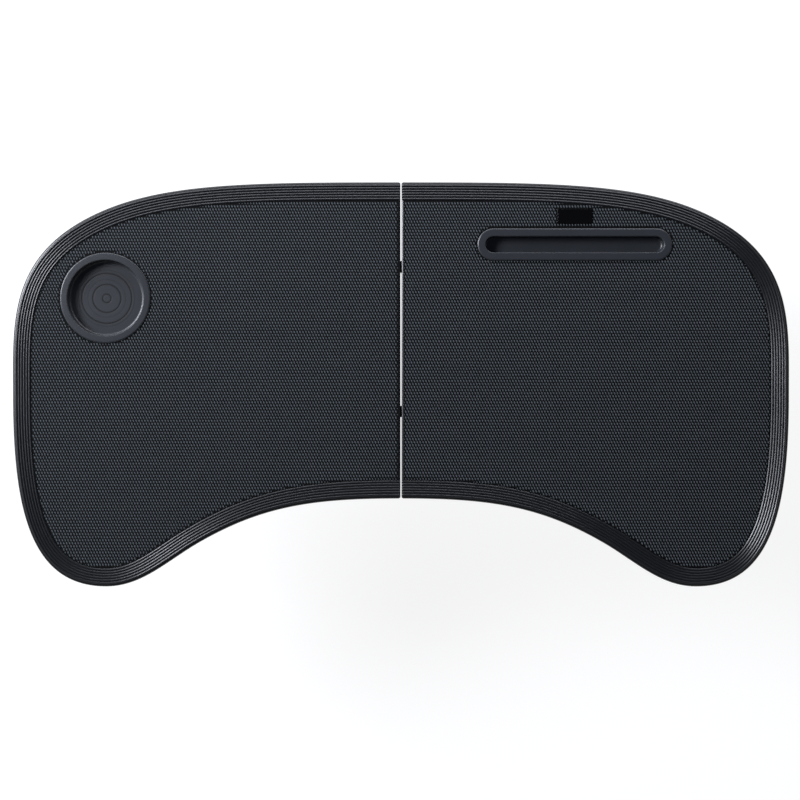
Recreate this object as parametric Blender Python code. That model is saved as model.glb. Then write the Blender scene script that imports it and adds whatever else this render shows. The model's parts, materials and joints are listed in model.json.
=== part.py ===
"""Folding tray table for a car seat: two moulded leaves on double-pivot hinges and two folding leg frames.

Metres, +Z up. The origin is on the floor under the middle of the table, +X runs along the table's width to
the right leaf, and +Y points away from the person who sits at it. The table stands open on its legs.
"""

import math

import bmesh
import bpy
from mathutils import Vector

# Overall sizes of the open table top.
TOP_WIDTH = 0.622
TOP_DEPTH = 0.324
LEFT = -1
RIGHT = 1

# Half of the top's outline, from the middle of the far edge round the left end to the near edge's middle.
# Each row is an anchor of a smooth curve: share of half the width, share of the depth, heading in degrees,
# and the reach of the curve's handles before and after the anchor as shares of half the width.
OUTLINE_SHARES = (
    (0.000, 0.500, 180, 0.000, 0.385),
    (0.784, 0.423, 205, 0.188, 0.256),
    (1.000, -0.026, 270, 0.185, 0.292),
    (0.760, -0.500, 360, 0.197, 0.092),
    (0.520, -0.391, 390, 0.097, 0.187),
    (0.000, -0.2824, 360, 0.228, 0.000),
)
OUTLINE_STEPS = (8, 9, 10, 5, 7)

# The leaf moulding, called the deck. A drop is a distance below the crests of the border's ridges.
DECK_DEPTH = 0.024
DECK_SKIN = 0.0024
DECK_WALL = 0.0026
SKIRT_DRAFT = 0.0010
SKIRT_TOE = 0.0016
SEAM_GAP = 0.0013
SEAM_DRAFT_SLOPE = 0.085
SEAM_LIP = 0.0014
RIDGE_COUNT = 6
RIDGE_PITCH = 0.00212
RIDGE_HEIGHT = 0.0007
EDGE_ROUND = 0.0019
RIM_LAND_DROP = 0.0002
RIB_THICKNESS = 0.0018
RIB_DROP = 0.0090
RIB_ROOT = 0.0010
RIB_STEP = 0.0003
CROSS_RIB_SHARES = (0.22, 0.39, 0.56)
LONG_RIB_SHARES = (0.04, 0.22)
PAD_HEIGHT = 0.0030

# Fits between pieces.
SEAT_GAP = 0.0003
PIVOT_GAP = 0.0003
CUT_OVERRUN = 0.0020

# The soft textured mats that lie in the decks.
MAT_THICKNESS = 0.0012
MAT_TOP_DROP = 0.0001

# The cup recess in the left leaf and the device slot in the right leaf.
CUP_X_SHARE = 0.7608
CUP_RADIUS = 0.0303
CUP_FLANGE = 0.0059
WELL_DEPTH = 0.0082
WELL_WALL = 0.0020
WELL_FLOOR = 0.0020
WELL_FILLET = 0.0022
WELL_LIP_ROUND = 0.0006
FLANGE_RISE = 0.0008
CUP_GROOVE_RADII = (0.0034, 0.0113, 0.0201)
CUP_GROOVE_WIDTH = 0.0008
CUP_GROOVE_DEPTH = 0.0003
SLOT_X_SHARE = 0.4473
SLOT_REAR_INSET = 0.0500
SLOT_LENGTH = 0.1434
SLOT_WIDTH = 0.0128
SLOT_FLANGE = 0.0064

# The blank plate above the slot.
BADGE_LENGTH = 0.0276
BADGE_WIDTH = 0.0116
BADGE_ABOVE_SLOT = 0.0225
BADGE_RISE = 0.0003
BADGE_ROUND = 0.0008

# Leg frames: a bent tube with an eye fitting on each end, which turns on a pin in a bracket.
LEG_LENGTH = 0.187
LEG_SPLAY = math.radians(5)
LEG_PIVOT_DROP = 0.0165
LEG_FRONT_Y_SHARE = -0.2469
TUBE_RADIUS = 0.005
TUBE_WALL = 0.001
TUBE_BEND_RADIUS = 0.025
EYE_RADIUS = 0.0065
EYE_WIDTH = 0.014
EYE_REACH = 0.024
TUBE_SEAT = 0.0085
LEG_PIN_RADIUS = 0.0020
BRACKET_LENGTH = 0.036
BRACKET_WIDTH = 0.022
BRACKET_PLATE = 0.0024
BRACKET_EAR = 0.0026
BRACKET_EAR_RADIUS = 0.0050
BRACKET_EAR_ROOT = 0.0100
BRACKET_SCREW_REACH = 0.0135
BRACKET_WALL_GAP = 0.0032
BRACKET_CUP_GAP = 0.0015
BRACKET_SLOT_GAP = 0.0022

# Feet on the leg frames' bottom bars.
FOOT_LENGTH = 0.036
FOOT_SOLE = 0.0025
FOOT_WALL = 0.0012
FOOT_CROWN = 0.0014
FOOT_INSET = 0.0010

# Hinges: a link with a pin at each end, between plates screwed under the two leaves.
HINGE_REAR_Y_SHARE = 0.2951
HINGE_FRONT_Y_SHARE = -0.0673
HINGE_PIN_OFFSET = 0.0065
HINGE_PIN_DROP = 0.0190
HINGE_PIN_RADIUS = 0.0015
LINK_WIDTH = 0.0092
LINK_RADIUS = 0.0040
HINGE_EAR = 0.0025
HINGE_PLATE_NEAR = 0.009
HINGE_PLATE_FAR = 0.034
HINGE_PLATE_WIDTH = 0.020
HINGE_EAR_ROOT = 0.013
HINGE_SCREW_NEAR = 0.0165
HINGE_SCREW_FAR = 0.0280
HINGE_SLOT_DROP = 0.0110

# Pin heads and screws.
PIN_HEAD_OVERLAP = 0.0011
PIN_HEAD_HEIGHT = 0.0008
SCREW_HEAD_RADIUS = 0.0029
SCREW_HEAD_HEIGHT = 0.0016
SCREW_SHANK_RADIUS = 0.0015
SCREW_LENGTH = 0.0055

# How finely round shapes are faceted.
WELL_SIDES = 36
PIN_SIDES = 12
SCREW_SIDES = 8
EYE_SIDES = 12
TUBE_SIDES = 12
TUBE_BEND_STEPS = 5
END_STEPS = 9
FILLET_STEPS = 3

# Places and sizes that follow from the sizes above.
HINGE_PLACES = {"rear": HINGE_REAR_Y_SHARE * TOP_DEPTH, "front": HINGE_FRONT_Y_SHARE * TOP_DEPTH}
TOP_Z = LEG_PIVOT_DROP + LEG_LENGTH * math.cos(LEG_SPLAY) + TUBE_RADIUS + FOOT_SOLE
BORDER_WIDTH = EDGE_ROUND + RIDGE_COUNT * RIDGE_PITCH
MAT_BOTTOM_DROP = MAT_TOP_DROP + MAT_THICKNESS
RECESS_DROP = MAT_BOTTOM_DROP + SEAT_GAP
CEILING_DROP = RECESS_DROP + DECK_SKIN
PAD_DROP = CEILING_DROP + PAD_HEIGHT
PLATE_TOP_DROP = PAD_DROP + SEAT_GAP
PLATE_BOTTOM_DROP = PLATE_TOP_DROP + BRACKET_PLATE
HALF_WIDTH = TOP_WIDTH / 2
SEAM_HALF_GAP = SEAM_GAP / 2
SEAM_WALL_INNER = SEAM_HALF_GAP + SEAM_DRAFT_SLOPE * DECK_DEPTH + DECK_WALL
SLOT_X = SLOT_X_SHARE * HALF_WIDTH
BRACKET_NEAR_X = SLOT_X + SLOT_LENGTH / 2 + WELL_WALL + BRACKET_SLOT_GAP
LEG_PIVOT_X = BRACKET_NEAR_X + BRACKET_LENGTH / 2
HINGE_EAR_OUTER = LINK_WIDTH / 2 + PIVOT_GAP + HINGE_EAR
HINGE_PIN_HALF = HINGE_EAR_OUTER + PIVOT_GAP + PIN_HEAD_HEIGHT
LEG_EAR_INNER = EYE_WIDTH / 2 + PIVOT_GAP
LEG_PIN_HALF = LEG_EAR_INNER + BRACKET_EAR + PIVOT_GAP + PIN_HEAD_HEIGHT

FINISHES = {
    "deck_plastic": ((0.030, 0.033, 0.038), 0.42, 0.0),
    "mat_rubber": ((0.026, 0.029, 0.033), 0.72, 0.0),
    "trim_plastic": ((0.044, 0.048, 0.055), 0.48, 0.0),
    "badge_gloss": ((0.004, 0.004, 0.005), 0.25, 0.0),
    "leg_paint": ((0.022, 0.023, 0.025), 0.40, 0.0),
    "bracket_plastic": ((0.018, 0.019, 0.021), 0.50, 0.0),
    "pin_steel": ((0.56, 0.57, 0.58), 0.30, 1.0),
    "screw_steel": ((0.05, 0.05, 0.052), 0.38, 1.0),
    "foot_rubber": ((0.014, 0.014, 0.015), 0.80, 0.0),
}


def clear_scene():
    """Removes whatever the file holds before the table is made."""
    for old in list(bpy.data.objects):
        bpy.data.objects.remove(old, do_unlink=True)


def finish_material(name):
    """The plain material of one finish, made once and shared by the pieces that have it."""
    found = bpy.data.materials.get(name)
    if found:
        return found
    colour, roughness, metallic = FINISHES[name]
    material = bpy.data.materials.new(name)
    material.use_nodes = True
    shader = material.node_tree.nodes["Principled BSDF"]
    shader.inputs["Base Color"].default_value = (*colour, 1.0)
    shader.inputs["Roughness"].default_value = roughness
    shader.inputs["Metallic"].default_value = metallic
    material.diffuse_color = (*colour, 1.0)
    return material


def make_piece(name, bm, finish, parent=None, place=(0, 0, 0), turn_y=0.0):
    """Turns a bmesh into a named object, placed relative to its parent."""
    bmesh.ops.remove_doubles(bm, verts=bm.verts, dist=SEAT_GAP / 100)
    bmesh.ops.recalc_face_normals(bm, faces=bm.faces)
    mesh = bpy.data.meshes.new(name)
    bm.to_mesh(mesh)
    bm.free()
    mesh.shade_smooth()
    mesh.set_sharp_from_angle(angle=math.radians(35))
    piece = bpy.data.objects.new(name, mesh)
    bpy.context.scene.collection.objects.link(piece)
    piece.data.materials.append(finish_material(finish))
    piece.parent = parent
    piece.location = place
    piece.rotation_euler = (0, turn_y, 0)
    return piece


def make_axis(name, world_place, parent=None, turn_y=0.0):
    """An empty on a joint's axis, which carries the pieces that turn about it."""
    axis = bpy.data.objects.new(name, None)
    bpy.context.scene.collection.objects.link(axis)
    axis.parent = parent
    carried = Vector(parent["world_place"]) if parent else Vector()
    axis.location = Vector(world_place) - carried
    axis.rotation_euler = (0, turn_y, 0)
    axis["world_place"] = list(world_place)
    return axis


def within(parent, world_place):
    """A world place as its parent sees it, where the parent isn't turned."""
    return Vector(world_place) - (Vector(parent["world_place"]) if parent else Vector())


def at_drop(drop):
    """Height above the floor of what lies this far below the top."""
    return TOP_Z - drop


def cut(piece, cutter, operation="DIFFERENCE"):
    """Cuts the piece with a helper, or joins the helper to it, and hides the helper."""
    cutter.hide_render = True
    cutter.display_type = "WIRE"
    modifier = piece.modifiers.new(cutter.name, "BOOLEAN")
    modifier.operation = operation
    modifier.solver = "EXACT"
    modifier.object = cutter
    return piece


def add_box(bm, low, high):
    """Adds an axis-aligned box to a bmesh."""
    made = bmesh.ops.create_cube(bm, size=1)["verts"]
    middle = (Vector(low) + Vector(high)) / 2
    size = Vector(high) - Vector(low)
    for vert in made:
        vert.co = Vector(vert.co[i] * size[i] + middle[i] for i in range(3))


def add_turned(bm, profile, sides, centre=(0, 0, 0), axis="Z"):
    """Adds a solid of revolution, from a profile of (radius, height) that starts and ends on the axis."""
    angles = [math.pi * (2 * i + 1) / sides for i in range(sides)]
    rings = []
    for radius, height in profile:
        if radius == 0:
            spots = [(0, 0, height)]
        else:
            spots = [(radius * math.cos(a), radius * math.sin(a), height) for a in angles]
        if axis == "Y":
            spots = [(x, z, -y) for x, y, z in spots]
        rings.append([bm.verts.new(Vector(s) + Vector(centre)) for s in spots])
    for ring, following in zip(rings, rings[1:]):
        for i in range(sides):
            j = (i + 1) % sides
            corners = [ring[i % len(ring)], ring[j % len(ring)]]
            corners += [following[j % len(following)], following[i % len(following)]]
            bm.faces.new(list(dict.fromkeys(corners)))


def add_prism(bm, outline, low, high, axis="Z"):
    """Adds an outline extruded from low to high along Z, or along Y for an outline in X and Z."""
    if axis == "Z":
        ends = [[bm.verts.new((u, v, w)) for u, v in outline] for w in (low, high)]
    else:
        ends = [[bm.verts.new((u, w, v)) for u, v in outline] for w in (low, high)]
    for end in ends:
        bm.faces.new(end)
    for i in range(len(outline)):
        j = (i + 1) % len(outline)
        bm.faces.new((ends[0][i], ends[0][j], ends[1][j], ends[1][i]))


def arc(centre, radius, start, stop, steps):
    """Points on an arc, with angles in degrees."""
    angles = [math.radians(start + (stop - start) * i / steps) for i in range(steps + 1)]
    return [(centre[0] + radius * math.cos(a), centre[1] + radius * math.sin(a)) for a in angles]


def curve_point(ends, share):
    """A point and heading of a cubic curve through two anchors with handles."""
    rest = 1 - share
    weights = (rest**3, 3 * rest**2 * share, 3 * rest * share**2, share**3)
    point = sum((Vector(p) * w for p, w in zip(ends, weights)), Vector((0, 0)))
    slopes = (rest**2, 2 * rest * share, share**2)
    pull = [(Vector(b) - Vector(a)) * w for a, b, w in zip(ends, ends[1:], slopes)]
    return point, sum(pull, Vector((0, 0))).normalized()


def half_outline():
    """The left half's outline as (point, inward direction), from the seam's far end to its near end."""
    anchors = []
    for across, along, heading, before, after in OUTLINE_SHARES:
        spot = Vector((-across * HALF_WIDTH, along * TOP_DEPTH))
        way = Vector((math.cos(math.radians(heading)), math.sin(math.radians(heading))))
        anchors.append((spot, way, before * HALF_WIDTH, after * HALF_WIDTH))
    samples = []
    for start, stop, steps in zip(anchors, anchors[1:], OUTLINE_STEPS):
        (a, way_a, _, reach_a), (b, way_b, reach_b, _) = start, stop
        ends = (a, a + way_a * reach_a, b - way_b * reach_b, b)
        samples += [curve_point(ends, i / steps) for i in range(steps)]
    samples.append((anchors[-1][0], anchors[-1][1]))
    outline = [(spot, Vector((-way.y, way.x))) for spot, way in samples]
    lip = SEAM_HALF_GAP + SEAM_LIP
    far, near = outline[0], outline[-1]
    lips = [(Vector((-lip, spot.y)), inward) for spot, inward in (far, near)]
    return [far, lips[0], *outline[1:-1], lips[1], near]


def seam_x(drop):
    """Distance of a leaf's seam face from the middle of the seam, which its draft widens downwards."""
    return SEAM_HALF_GAP + SEAM_DRAFT_SLOPE * drop


def offset_ring(outline, inset, drop, seam=None):
    """The outline moved inwards by the inset, at a drop: its ends on the seam's face, the rest behind it."""
    ring = []
    for index, (spot, inward) in enumerate(outline):
        place = spot + inward * inset
        if index in (0, len(outline) - 1):
            place = Vector((-(seam_x(drop) if seam is None else seam), place.y))
        elif index in (1, len(outline) - 2):
            place.x = min(place.x, -seam_x(drop) - SEAT_GAP)
        ring.append(Vector((place.x, place.y, -drop)))
    return ring


def border_profile():
    """The deck's section as (inset, drop), from the mat's recess over the ridges and down the skirt."""
    profile = [(BORDER_WIDTH, RIM_LAND_DROP)]
    for index in range(RIDGE_COUNT):
        crest = BORDER_WIDTH - (index + 0.5) * RIDGE_PITCH
        profile.append((crest, 0))
        profile.append((crest - RIDGE_PITCH / 2, RIDGE_HEIGHT))
    corner = EDGE_ROUND + RIDGE_HEIGHT
    for inset, drop in arc((EDGE_ROUND, corner), EDGE_ROUND, 240, 180, FILLET_STEPS - 1):
        profile.append((inset, drop))
    profile.append((SKIRT_DRAFT, DECK_DEPTH - SKIRT_TOE))
    profile.append((SKIRT_DRAFT + SKIRT_TOE / 2, DECK_DEPTH))
    return profile


def strip(bm, ring, following, closed=False):
    """Joins two rings of vertices with faces."""
    for i in range(len(ring) if closed else len(ring) - 1):
        j = (i + 1) % len(ring)
        bm.faces.new((ring[i], ring[j], following[j], following[i]))


def deck_body():
    """The left leaf's moulding without ribs and holes: ridged border, recess, seam lip, hollow underside."""
    bm = bmesh.new()
    outline = half_outline()
    rings = []
    for inset, drop in border_profile():
        rings.append([bm.verts.new(p) for p in offset_ring(outline, inset, drop)])
    for ring, following in zip(rings, rings[1:]):
        strip(bm, ring, following)
    land, toe = rings[0], rings[-1]
    bm.faces.new([ring[0] for ring in rings] + [ring[-1] for ring in reversed(rings)])
    bm.faces.new((land[0], land[1], land[-2], land[-1]))
    floor = [bm.verts.new((v.co.x, v.co.y, -RECESS_DROP)) for v in land[1:-1]]
    strip(bm, land[1:-1], floor, closed=True)
    bm.faces.new(floor)
    wall_foot = SKIRT_DRAFT + SKIRT_TOE / 2 + DECK_WALL
    mouth = [bm.verts.new(p) for p in offset_ring(outline, wall_foot, DECK_DEPTH, SEAM_WALL_INNER)]
    mouth_inner = [mouth[0], *mouth[2:-2], mouth[-1]]
    toe_outer = [toe[0], *toe[2:-2], toe[-1]]
    bm.verts.remove(mouth[1])
    bm.verts.remove(mouth[-2])
    bm.faces.new((toe[0], toe[1], toe[2], mouth_inner[1], mouth_inner[0]))
    bm.faces.new((toe[-1], toe[-2], toe[-3], mouth_inner[-2], mouth_inner[-1]))
    strip(bm, toe_outer[1:-1], mouth_inner[1:-1])
    bm.faces.new((toe[0], toe[-1], mouth_inner[-1], mouth_inner[0]))
    ceiling = [bm.verts.new((v.co.x, v.co.y, -CEILING_DROP)) for v in mouth_inner]
    strip(bm, mouth_inner, ceiling, closed=True)
    bm.faces.new(ceiling)
    return bm


def cavity_span(along, value):
    """Where a straight rib meets the skirt's inner face: the two ends of a line at constant X or Y."""
    inset = SKIRT_DRAFT + SKIRT_TOE / 2 + DECK_WALL / 2
    ring = [Vector((p.x, p.y)) for p in offset_ring(half_outline(), inset, DECK_DEPTH)]
    fixed, free = (0, 1) if along == "Y" else (1, 0)
    hits = []
    for a, b in zip(ring, ring[1:] + ring[:1]):
        if (a[fixed] - value) * (b[fixed] - value) < 0:
            share = (value - a[fixed]) / (b[fixed] - a[fixed])
            hits.append(a[free] + share * (b[free] - a[free]))
    return min(hits), max(hits)


def leg_places():
    """Y of the leg brackets: the rear ones stand just inside the skirt, the front ones well back from it."""
    _, wall = cavity_span("Y", -LEG_PIVOT_X - BRACKET_LENGTH / 2)
    rear = wall - DECK_WALL / 2 - BRACKET_WALL_GAP - BRACKET_WIDTH / 2
    return {"rear": rear, "front": LEG_FRONT_Y_SHARE * TOP_DEPTH}


def cross_ribs():
    """Stiffening ribs under the left leaf that run from front to back."""
    bm = bmesh.new()
    half = RIB_THICKNESS / 2
    for share in CROSS_RIB_SHARES:
        x = -share * HALF_WIDTH
        low, high = cavity_span("Y", x)
        add_box(bm, (x - half, low, -RIB_DROP), (x + half, high, RIB_ROOT - CEILING_DROP))
    return bm


def long_ribs():
    """Stiffening ribs under the left leaf from the seam to the end, a little shallower than the others."""
    bm = bmesh.new()
    half = RIB_THICKNESS / 2
    root = RIB_ROOT - RIB_STEP - CEILING_DROP
    for share in LONG_RIB_SHARES:
        y = share * TOP_DEPTH
        low, high = cavity_span("X", y)
        add_box(bm, (low, y - half, RIB_STEP - RIB_DROP), (high, y + half, root))
    return bm


def mounting_pads():
    """Raised pads under the left leaf, which the leg brackets and hinge plates are screwed to."""
    bm = bmesh.new()
    root = RIB_ROOT - 2 * RIB_STEP - CEILING_DROP
    for x, y, length, width in pad_places():
        low = (x - length / 2, y - width / 2, -PAD_DROP)
        add_box(bm, low, (x + length / 2, y + width / 2, root))
    return bm


def pad_places():
    """Centre and size of the mounting pads under the left leaf: two for leg brackets, two for hinges."""
    places = [(-LEG_PIVOT_X, y, BRACKET_LENGTH, BRACKET_WIDTH) for y in leg_places().values()]
    middle = -(HINGE_PLATE_NEAR + HINGE_PLATE_FAR) / 2
    length = HINGE_PLATE_FAR - HINGE_PLATE_NEAR
    places += [(middle, y, length, HINGE_PLATE_WIDTH) for y in HINGE_PLACES.values()]
    return places


def screw_profile(gap):
    """A countersunk screw as (radius, height), head down, with the gap that its hole leaves round it."""
    head, shank = SCREW_HEAD_RADIUS + gap, SCREW_SHANK_RADIUS + gap
    tip = SCREW_LENGTH + gap
    cone = [(head, 0), (shank, SCREW_HEAD_HEIGHT), (shank, tip), (0, tip)]
    if gap:
        return [(0, -CUT_OVERRUN), (head, -CUT_OVERRUN), *cone]
    return [(0, 0), *cone]


def screw_places():
    """Name and place of the left leaf's screws: two in each leg bracket and two in each hinge plate."""
    places = []
    for where, y in leg_places().items():
        places.append((f"leg_screw_{where}_outer", -LEG_PIVOT_X - BRACKET_SCREW_REACH, y))
        places.append((f"leg_screw_{where}_inner", -LEG_PIVOT_X + BRACKET_SCREW_REACH, y))
    for where, y in HINGE_PLACES.items():
        places.append((f"hinge_screw_{where}_inner", -HINGE_SCREW_NEAR, y))
        places.append((f"hinge_screw_{where}_outer", -HINGE_SCREW_FAR, y))
    return places


def screw_holes(places):
    """Cutters for screw holes at these places under the left leaf."""
    bm = bmesh.new()
    for x, y in places:
        add_turned(bm, screw_profile(SEAT_GAP), SCREW_SIDES, (x, y, -PLATE_BOTTOM_DROP + SEAT_GAP))
    return bm


def make_screws(side, parent):
    """One leaf's screws, each seated in the underside of its plate."""
    for name, x, y in screw_places():
        bm = bmesh.new()
        add_turned(bm, screw_profile(0), SCREW_SIDES)
        place = (-side * x, y, at_drop(PLATE_BOTTOM_DROP - SEAT_GAP))
        make_piece(f"{name}_{side_name(side)}", bm, "screw_steel", parent, within(parent, place))


def side_name(side):
    """The word for a side in the pieces' names."""
    return "left" if side == LEFT else "right"


def hinge_slots():
    """Openings in the left leaf's seam wall, where the hinge ears and links reach through."""
    bm = bmesh.new()
    reach = HINGE_PIN_HALF + PIVOT_GAP
    for y in HINGE_PLACES.values():
        low = (-HINGE_PLATE_NEAR, y - reach, -DECK_DEPTH - CUT_OVERRUN)
        add_box(bm, low, (CUT_OVERRUN, y + reach, -HINGE_SLOT_DROP))
    return bm


def mirrored(bm, side):
    """The shape as made for the left leaf, or its mirror image for the right leaf."""
    if side == RIGHT:
        bmesh.ops.scale(bm, vec=(-1, 1, 1), verts=bm.verts)
        bmesh.ops.reverse_faces(bm, faces=bm.faces)
    return bm


def stadium(length, width, steps):
    """A long round-ended outline about the origin."""
    radius = width / 2
    reach = length / 2 - radius
    return arc((reach, 0), radius, -90, 90, steps) + arc((-reach, 0), radius, 90, 270, steps)


def circle(radius, sides):
    """A round outline about the origin."""
    return arc((0, 0), radius, 0, 360 * (sides - 1) / sides, sides - 1)


def recess_insert(outline_at, grooves=()):
    """A flanged recess from a family of outlines: outline_at(r) is the recess's rim moved outwards by r."""
    rise, floor = FLANGE_RISE, FLANGE_RISE - WELL_DEPTH
    section = [(CUP_FLANGE - WELL_LIP_ROUND, rise), (WELL_LIP_ROUND, rise), (0, rise - WELL_LIP_ROUND)]
    section += [(0, floor + WELL_FILLET)]
    curve = arc((-WELL_FILLET, floor + WELL_FILLET), WELL_FILLET, 0, -90, FILLET_STEPS)
    section += curve[1:]
    for inset in grooves:
        half = CUP_GROOVE_WIDTH / 2
        section += [(-inset + half, floor), (-inset, floor - CUP_GROOVE_DEPTH), (-inset - half, floor)]
    outer = [(CUP_FLANGE, rise - WELL_LIP_ROUND), (CUP_FLANGE, -MAT_BOTTOM_DROP)]
    outer += [(WELL_WALL, -MAT_BOTTOM_DROP), (WELL_WALL, floor - WELL_FLOOR)]
    bm = bmesh.new()
    rings = [[bm.verts.new((x, y, z)) for x, y in outline_at(r)] for r, z in section]
    back = [[bm.verts.new((x, y, z)) for x, y in outline_at(r)] for r, z in outer]
    for ring, following in zip(rings, rings[1:]):
        strip(bm, ring, following, closed=True)
    bm.faces.new(rings[-1])
    strip(bm, rings[0], back[0], closed=True)
    for ring, following in zip(back, back[1:]):
        strip(bm, ring, following, closed=True)
    bm.faces.new(back[-1])
    return bm


def cup_outline(r):
    """The cup recess's rim moved outwards by r."""
    return circle(CUP_RADIUS + r, WELL_SIDES)


def slot_outline(r):
    """The device slot's rim moved outwards by r, with the slot's flange width in place of the cup's."""
    grown = r * SLOT_FLANGE / CUP_FLANGE if r > WELL_WALL else r
    return stadium(SLOT_LENGTH + 2 * grown, SLOT_WIDTH + 2 * grown, END_STEPS)


def make_deck(side, parent):
    """One leaf's moulding, with its ribs joined and its holes cut."""
    name = side_name(side)
    place = within(parent, (0, 0, TOP_Z))
    deck = make_piece(f"{name}_deck", mirrored(deck_body(), side), "deck_plastic", parent, place)
    joins = {"cross_ribs": cross_ribs, "long_ribs": long_ribs, "pads": mounting_pads}
    for helper, shape in joins.items():
        added = mirrored(shape(), side)
        cut(deck, make_piece(f"{name}_{helper}_helper", added, "deck_plastic", parent, place), "UNION")
    well = bmesh.new()
    outline_at = cup_outline if side == LEFT else slot_outline
    x, y = insert_place(side)
    spots = [(u + x, v + y) for u, v in outline_at(WELL_WALL + SEAT_GAP)]
    add_prism(well, spots, -DECK_DEPTH, CUT_OVERRUN)
    cut(deck, make_piece(f"{name}_well_cutter", well, "deck_plastic", parent, place))
    slots = mirrored(hinge_slots(), side)
    cut(deck, make_piece(f"{name}_slot_cutter", slots, "deck_plastic", parent, place))
    holes = mirrored(screw_holes([(x, y) for _, x, y in screw_places()]), side)
    cut(deck, make_piece(f"{name}_screw_cutter", holes, "deck_plastic", parent, place))
    return deck


def insert_place(side):
    """Middle of the cup recess on the left leaf, or of the device slot on the right one."""
    if side == LEFT:
        bracket = leg_places()["rear"] - BRACKET_WIDTH / 2
        return -CUP_X_SHARE * HALF_WIDTH, bracket - BRACKET_CUP_GAP - WELL_WALL - CUP_RADIUS
    return SLOT_X, TOP_DEPTH / 2 - SLOT_REAR_INSET


def badge_place():
    """Middle of the blank plate, above the device slot."""
    x, y = insert_place(RIGHT)
    return x, y + BADGE_ABOVE_SLOT


def make_mat(side, parent):
    """One leaf's mat, with its openings for the recess flange and the blank plate."""
    name = side_name(side)
    ring = offset_ring(half_outline()[1:-1], BORDER_WIDTH + SEAT_GAP, 0, SEAM_HALF_GAP + SEAM_LIP + SEAT_GAP)
    bm = bmesh.new()
    add_prism(bm, [(p.x, p.y) for p in ring], -MAT_BOTTOM_DROP, -MAT_TOP_DROP)
    place = within(parent, (0, 0, TOP_Z))
    mat = make_piece(f"{name}_mat", mirrored(bm, side), "mat_rubber", parent, place)
    opening = bmesh.new()
    outline_at = cup_outline if side == LEFT else slot_outline
    x, y = insert_place(side)
    spots = [(u + x, v + y) for u, v in outline_at(CUP_FLANGE + SEAT_GAP)]
    add_prism(opening, spots, -MAT_BOTTOM_DROP - CUT_OVERRUN, CUT_OVERRUN)
    if side == RIGHT:
        bx, by = badge_place()
        half_x, half_y = BADGE_LENGTH / 2 + SEAT_GAP, BADGE_WIDTH / 2 + SEAT_GAP
        low = (bx - half_x, by - half_y, -MAT_BOTTOM_DROP - CUT_OVERRUN)
        add_box(opening, low, (bx + half_x, by + half_y, CUT_OVERRUN))
    cut(mat, make_piece(f"{name}_mat_cutter", opening, "mat_rubber", parent, place))
    return mat


def make_inserts(left_parent, right_parent):
    """The cup recess, the device slot and the blank plate."""
    x, y = insert_place(LEFT)
    insets = [CUP_RADIUS - radius for radius in reversed(CUP_GROOVE_RADII)]
    bm = recess_insert(cup_outline, insets)
    make_piece("cup_recess", bm, "trim_plastic", left_parent, within(left_parent, (x, y, TOP_Z)))
    x, y = insert_place(RIGHT)
    bm = recess_insert(slot_outline)
    make_piece("device_slot", bm, "trim_plastic", right_parent, within(right_parent, (x, y, TOP_Z)))
    x, y = badge_place()
    bm = bmesh.new()
    half_x, half_y, round_r = BADGE_LENGTH / 2, BADGE_WIDTH / 2, BADGE_ROUND
    corners = []
    for turn, (sx, sy) in enumerate(((1, 1), (-1, 1), (-1, -1), (1, -1))):
        centre = (sx * (half_x - round_r), sy * (half_y - round_r))
        corners += arc(centre, round_r, 90 * turn, 90 * turn + 90, FILLET_STEPS - 1)
    add_prism(bm, corners, -MAT_BOTTOM_DROP, BADGE_RISE)
    make_piece("blank_badge", bm, "badge_gloss", right_parent, within(right_parent, (x, y, TOP_Z)))


def hinge_plate():
    """Shapes of a left hinge plate about the seam's middle: base, two ears round the pin, link's stop."""
    half = HINGE_PLATE_WIDTH / 2
    base, ears, web = bmesh.new(), bmesh.new(), bmesh.new()
    low = (-HINGE_PLATE_FAR, -half, -PLATE_BOTTOM_DROP)
    add_box(base, low, (-HINGE_PLATE_NEAR, half, -PLATE_TOP_DROP))
    pin_x, pin_z = -HINGE_PIN_OFFSET, -HINGE_PIN_DROP
    root_z = -PLATE_BOTTOM_DROP + BRACKET_PLATE / 2
    behind_wall = -(SEAM_WALL_INNER + PIVOT_GAP)
    ear = arc((pin_x, pin_z), LINK_RADIUS, 0, -180, EYE_SIDES // 2)
    ear += [(pin_x - HINGE_EAR_ROOT, root_z), (behind_wall, root_z)]
    ear += [(behind_wall, -HINGE_SLOT_DROP - PIVOT_GAP)]
    inner = LINK_WIDTH / 2 + PIVOT_GAP
    for side in (LEFT, RIGHT):
        add_prism(ears, ear, *sorted((side * inner, side * HINGE_EAR_OUTER)), axis="Y")
    reach = inner + HINGE_EAR / 2
    low = (pin_x - LINK_RADIUS, -reach, pin_z + LINK_RADIUS + PIVOT_GAP)
    add_box(web, low, (behind_wall, reach, root_z))
    return [base, ears, web]


def joined(name, shapes, finish, parent, place, cutters):
    """A piece made of overlapping shapes joined into one solid, then cut."""
    piece, *others = [
        make_piece(f"{name}_helper_{index}" if index else name, shape, finish, parent, place)
        for index, shape in enumerate(shapes)
    ]
    for other in others:
        cut(piece, other, "UNION")
    for index, cutter in enumerate(cutters):
        cut(piece, make_piece(f"{name}_cutter_{index}", cutter, finish, parent, place))
    return piece


def hole(radius, half_length, centre):
    """A cutter for a pin hole along Y."""
    bm = bmesh.new()
    profile = [(0, -half_length), (radius, -half_length), (radius, half_length), (0, half_length)]
    add_turned(bm, profile, PIN_SIDES, centre, axis="Y")
    return bm


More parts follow.
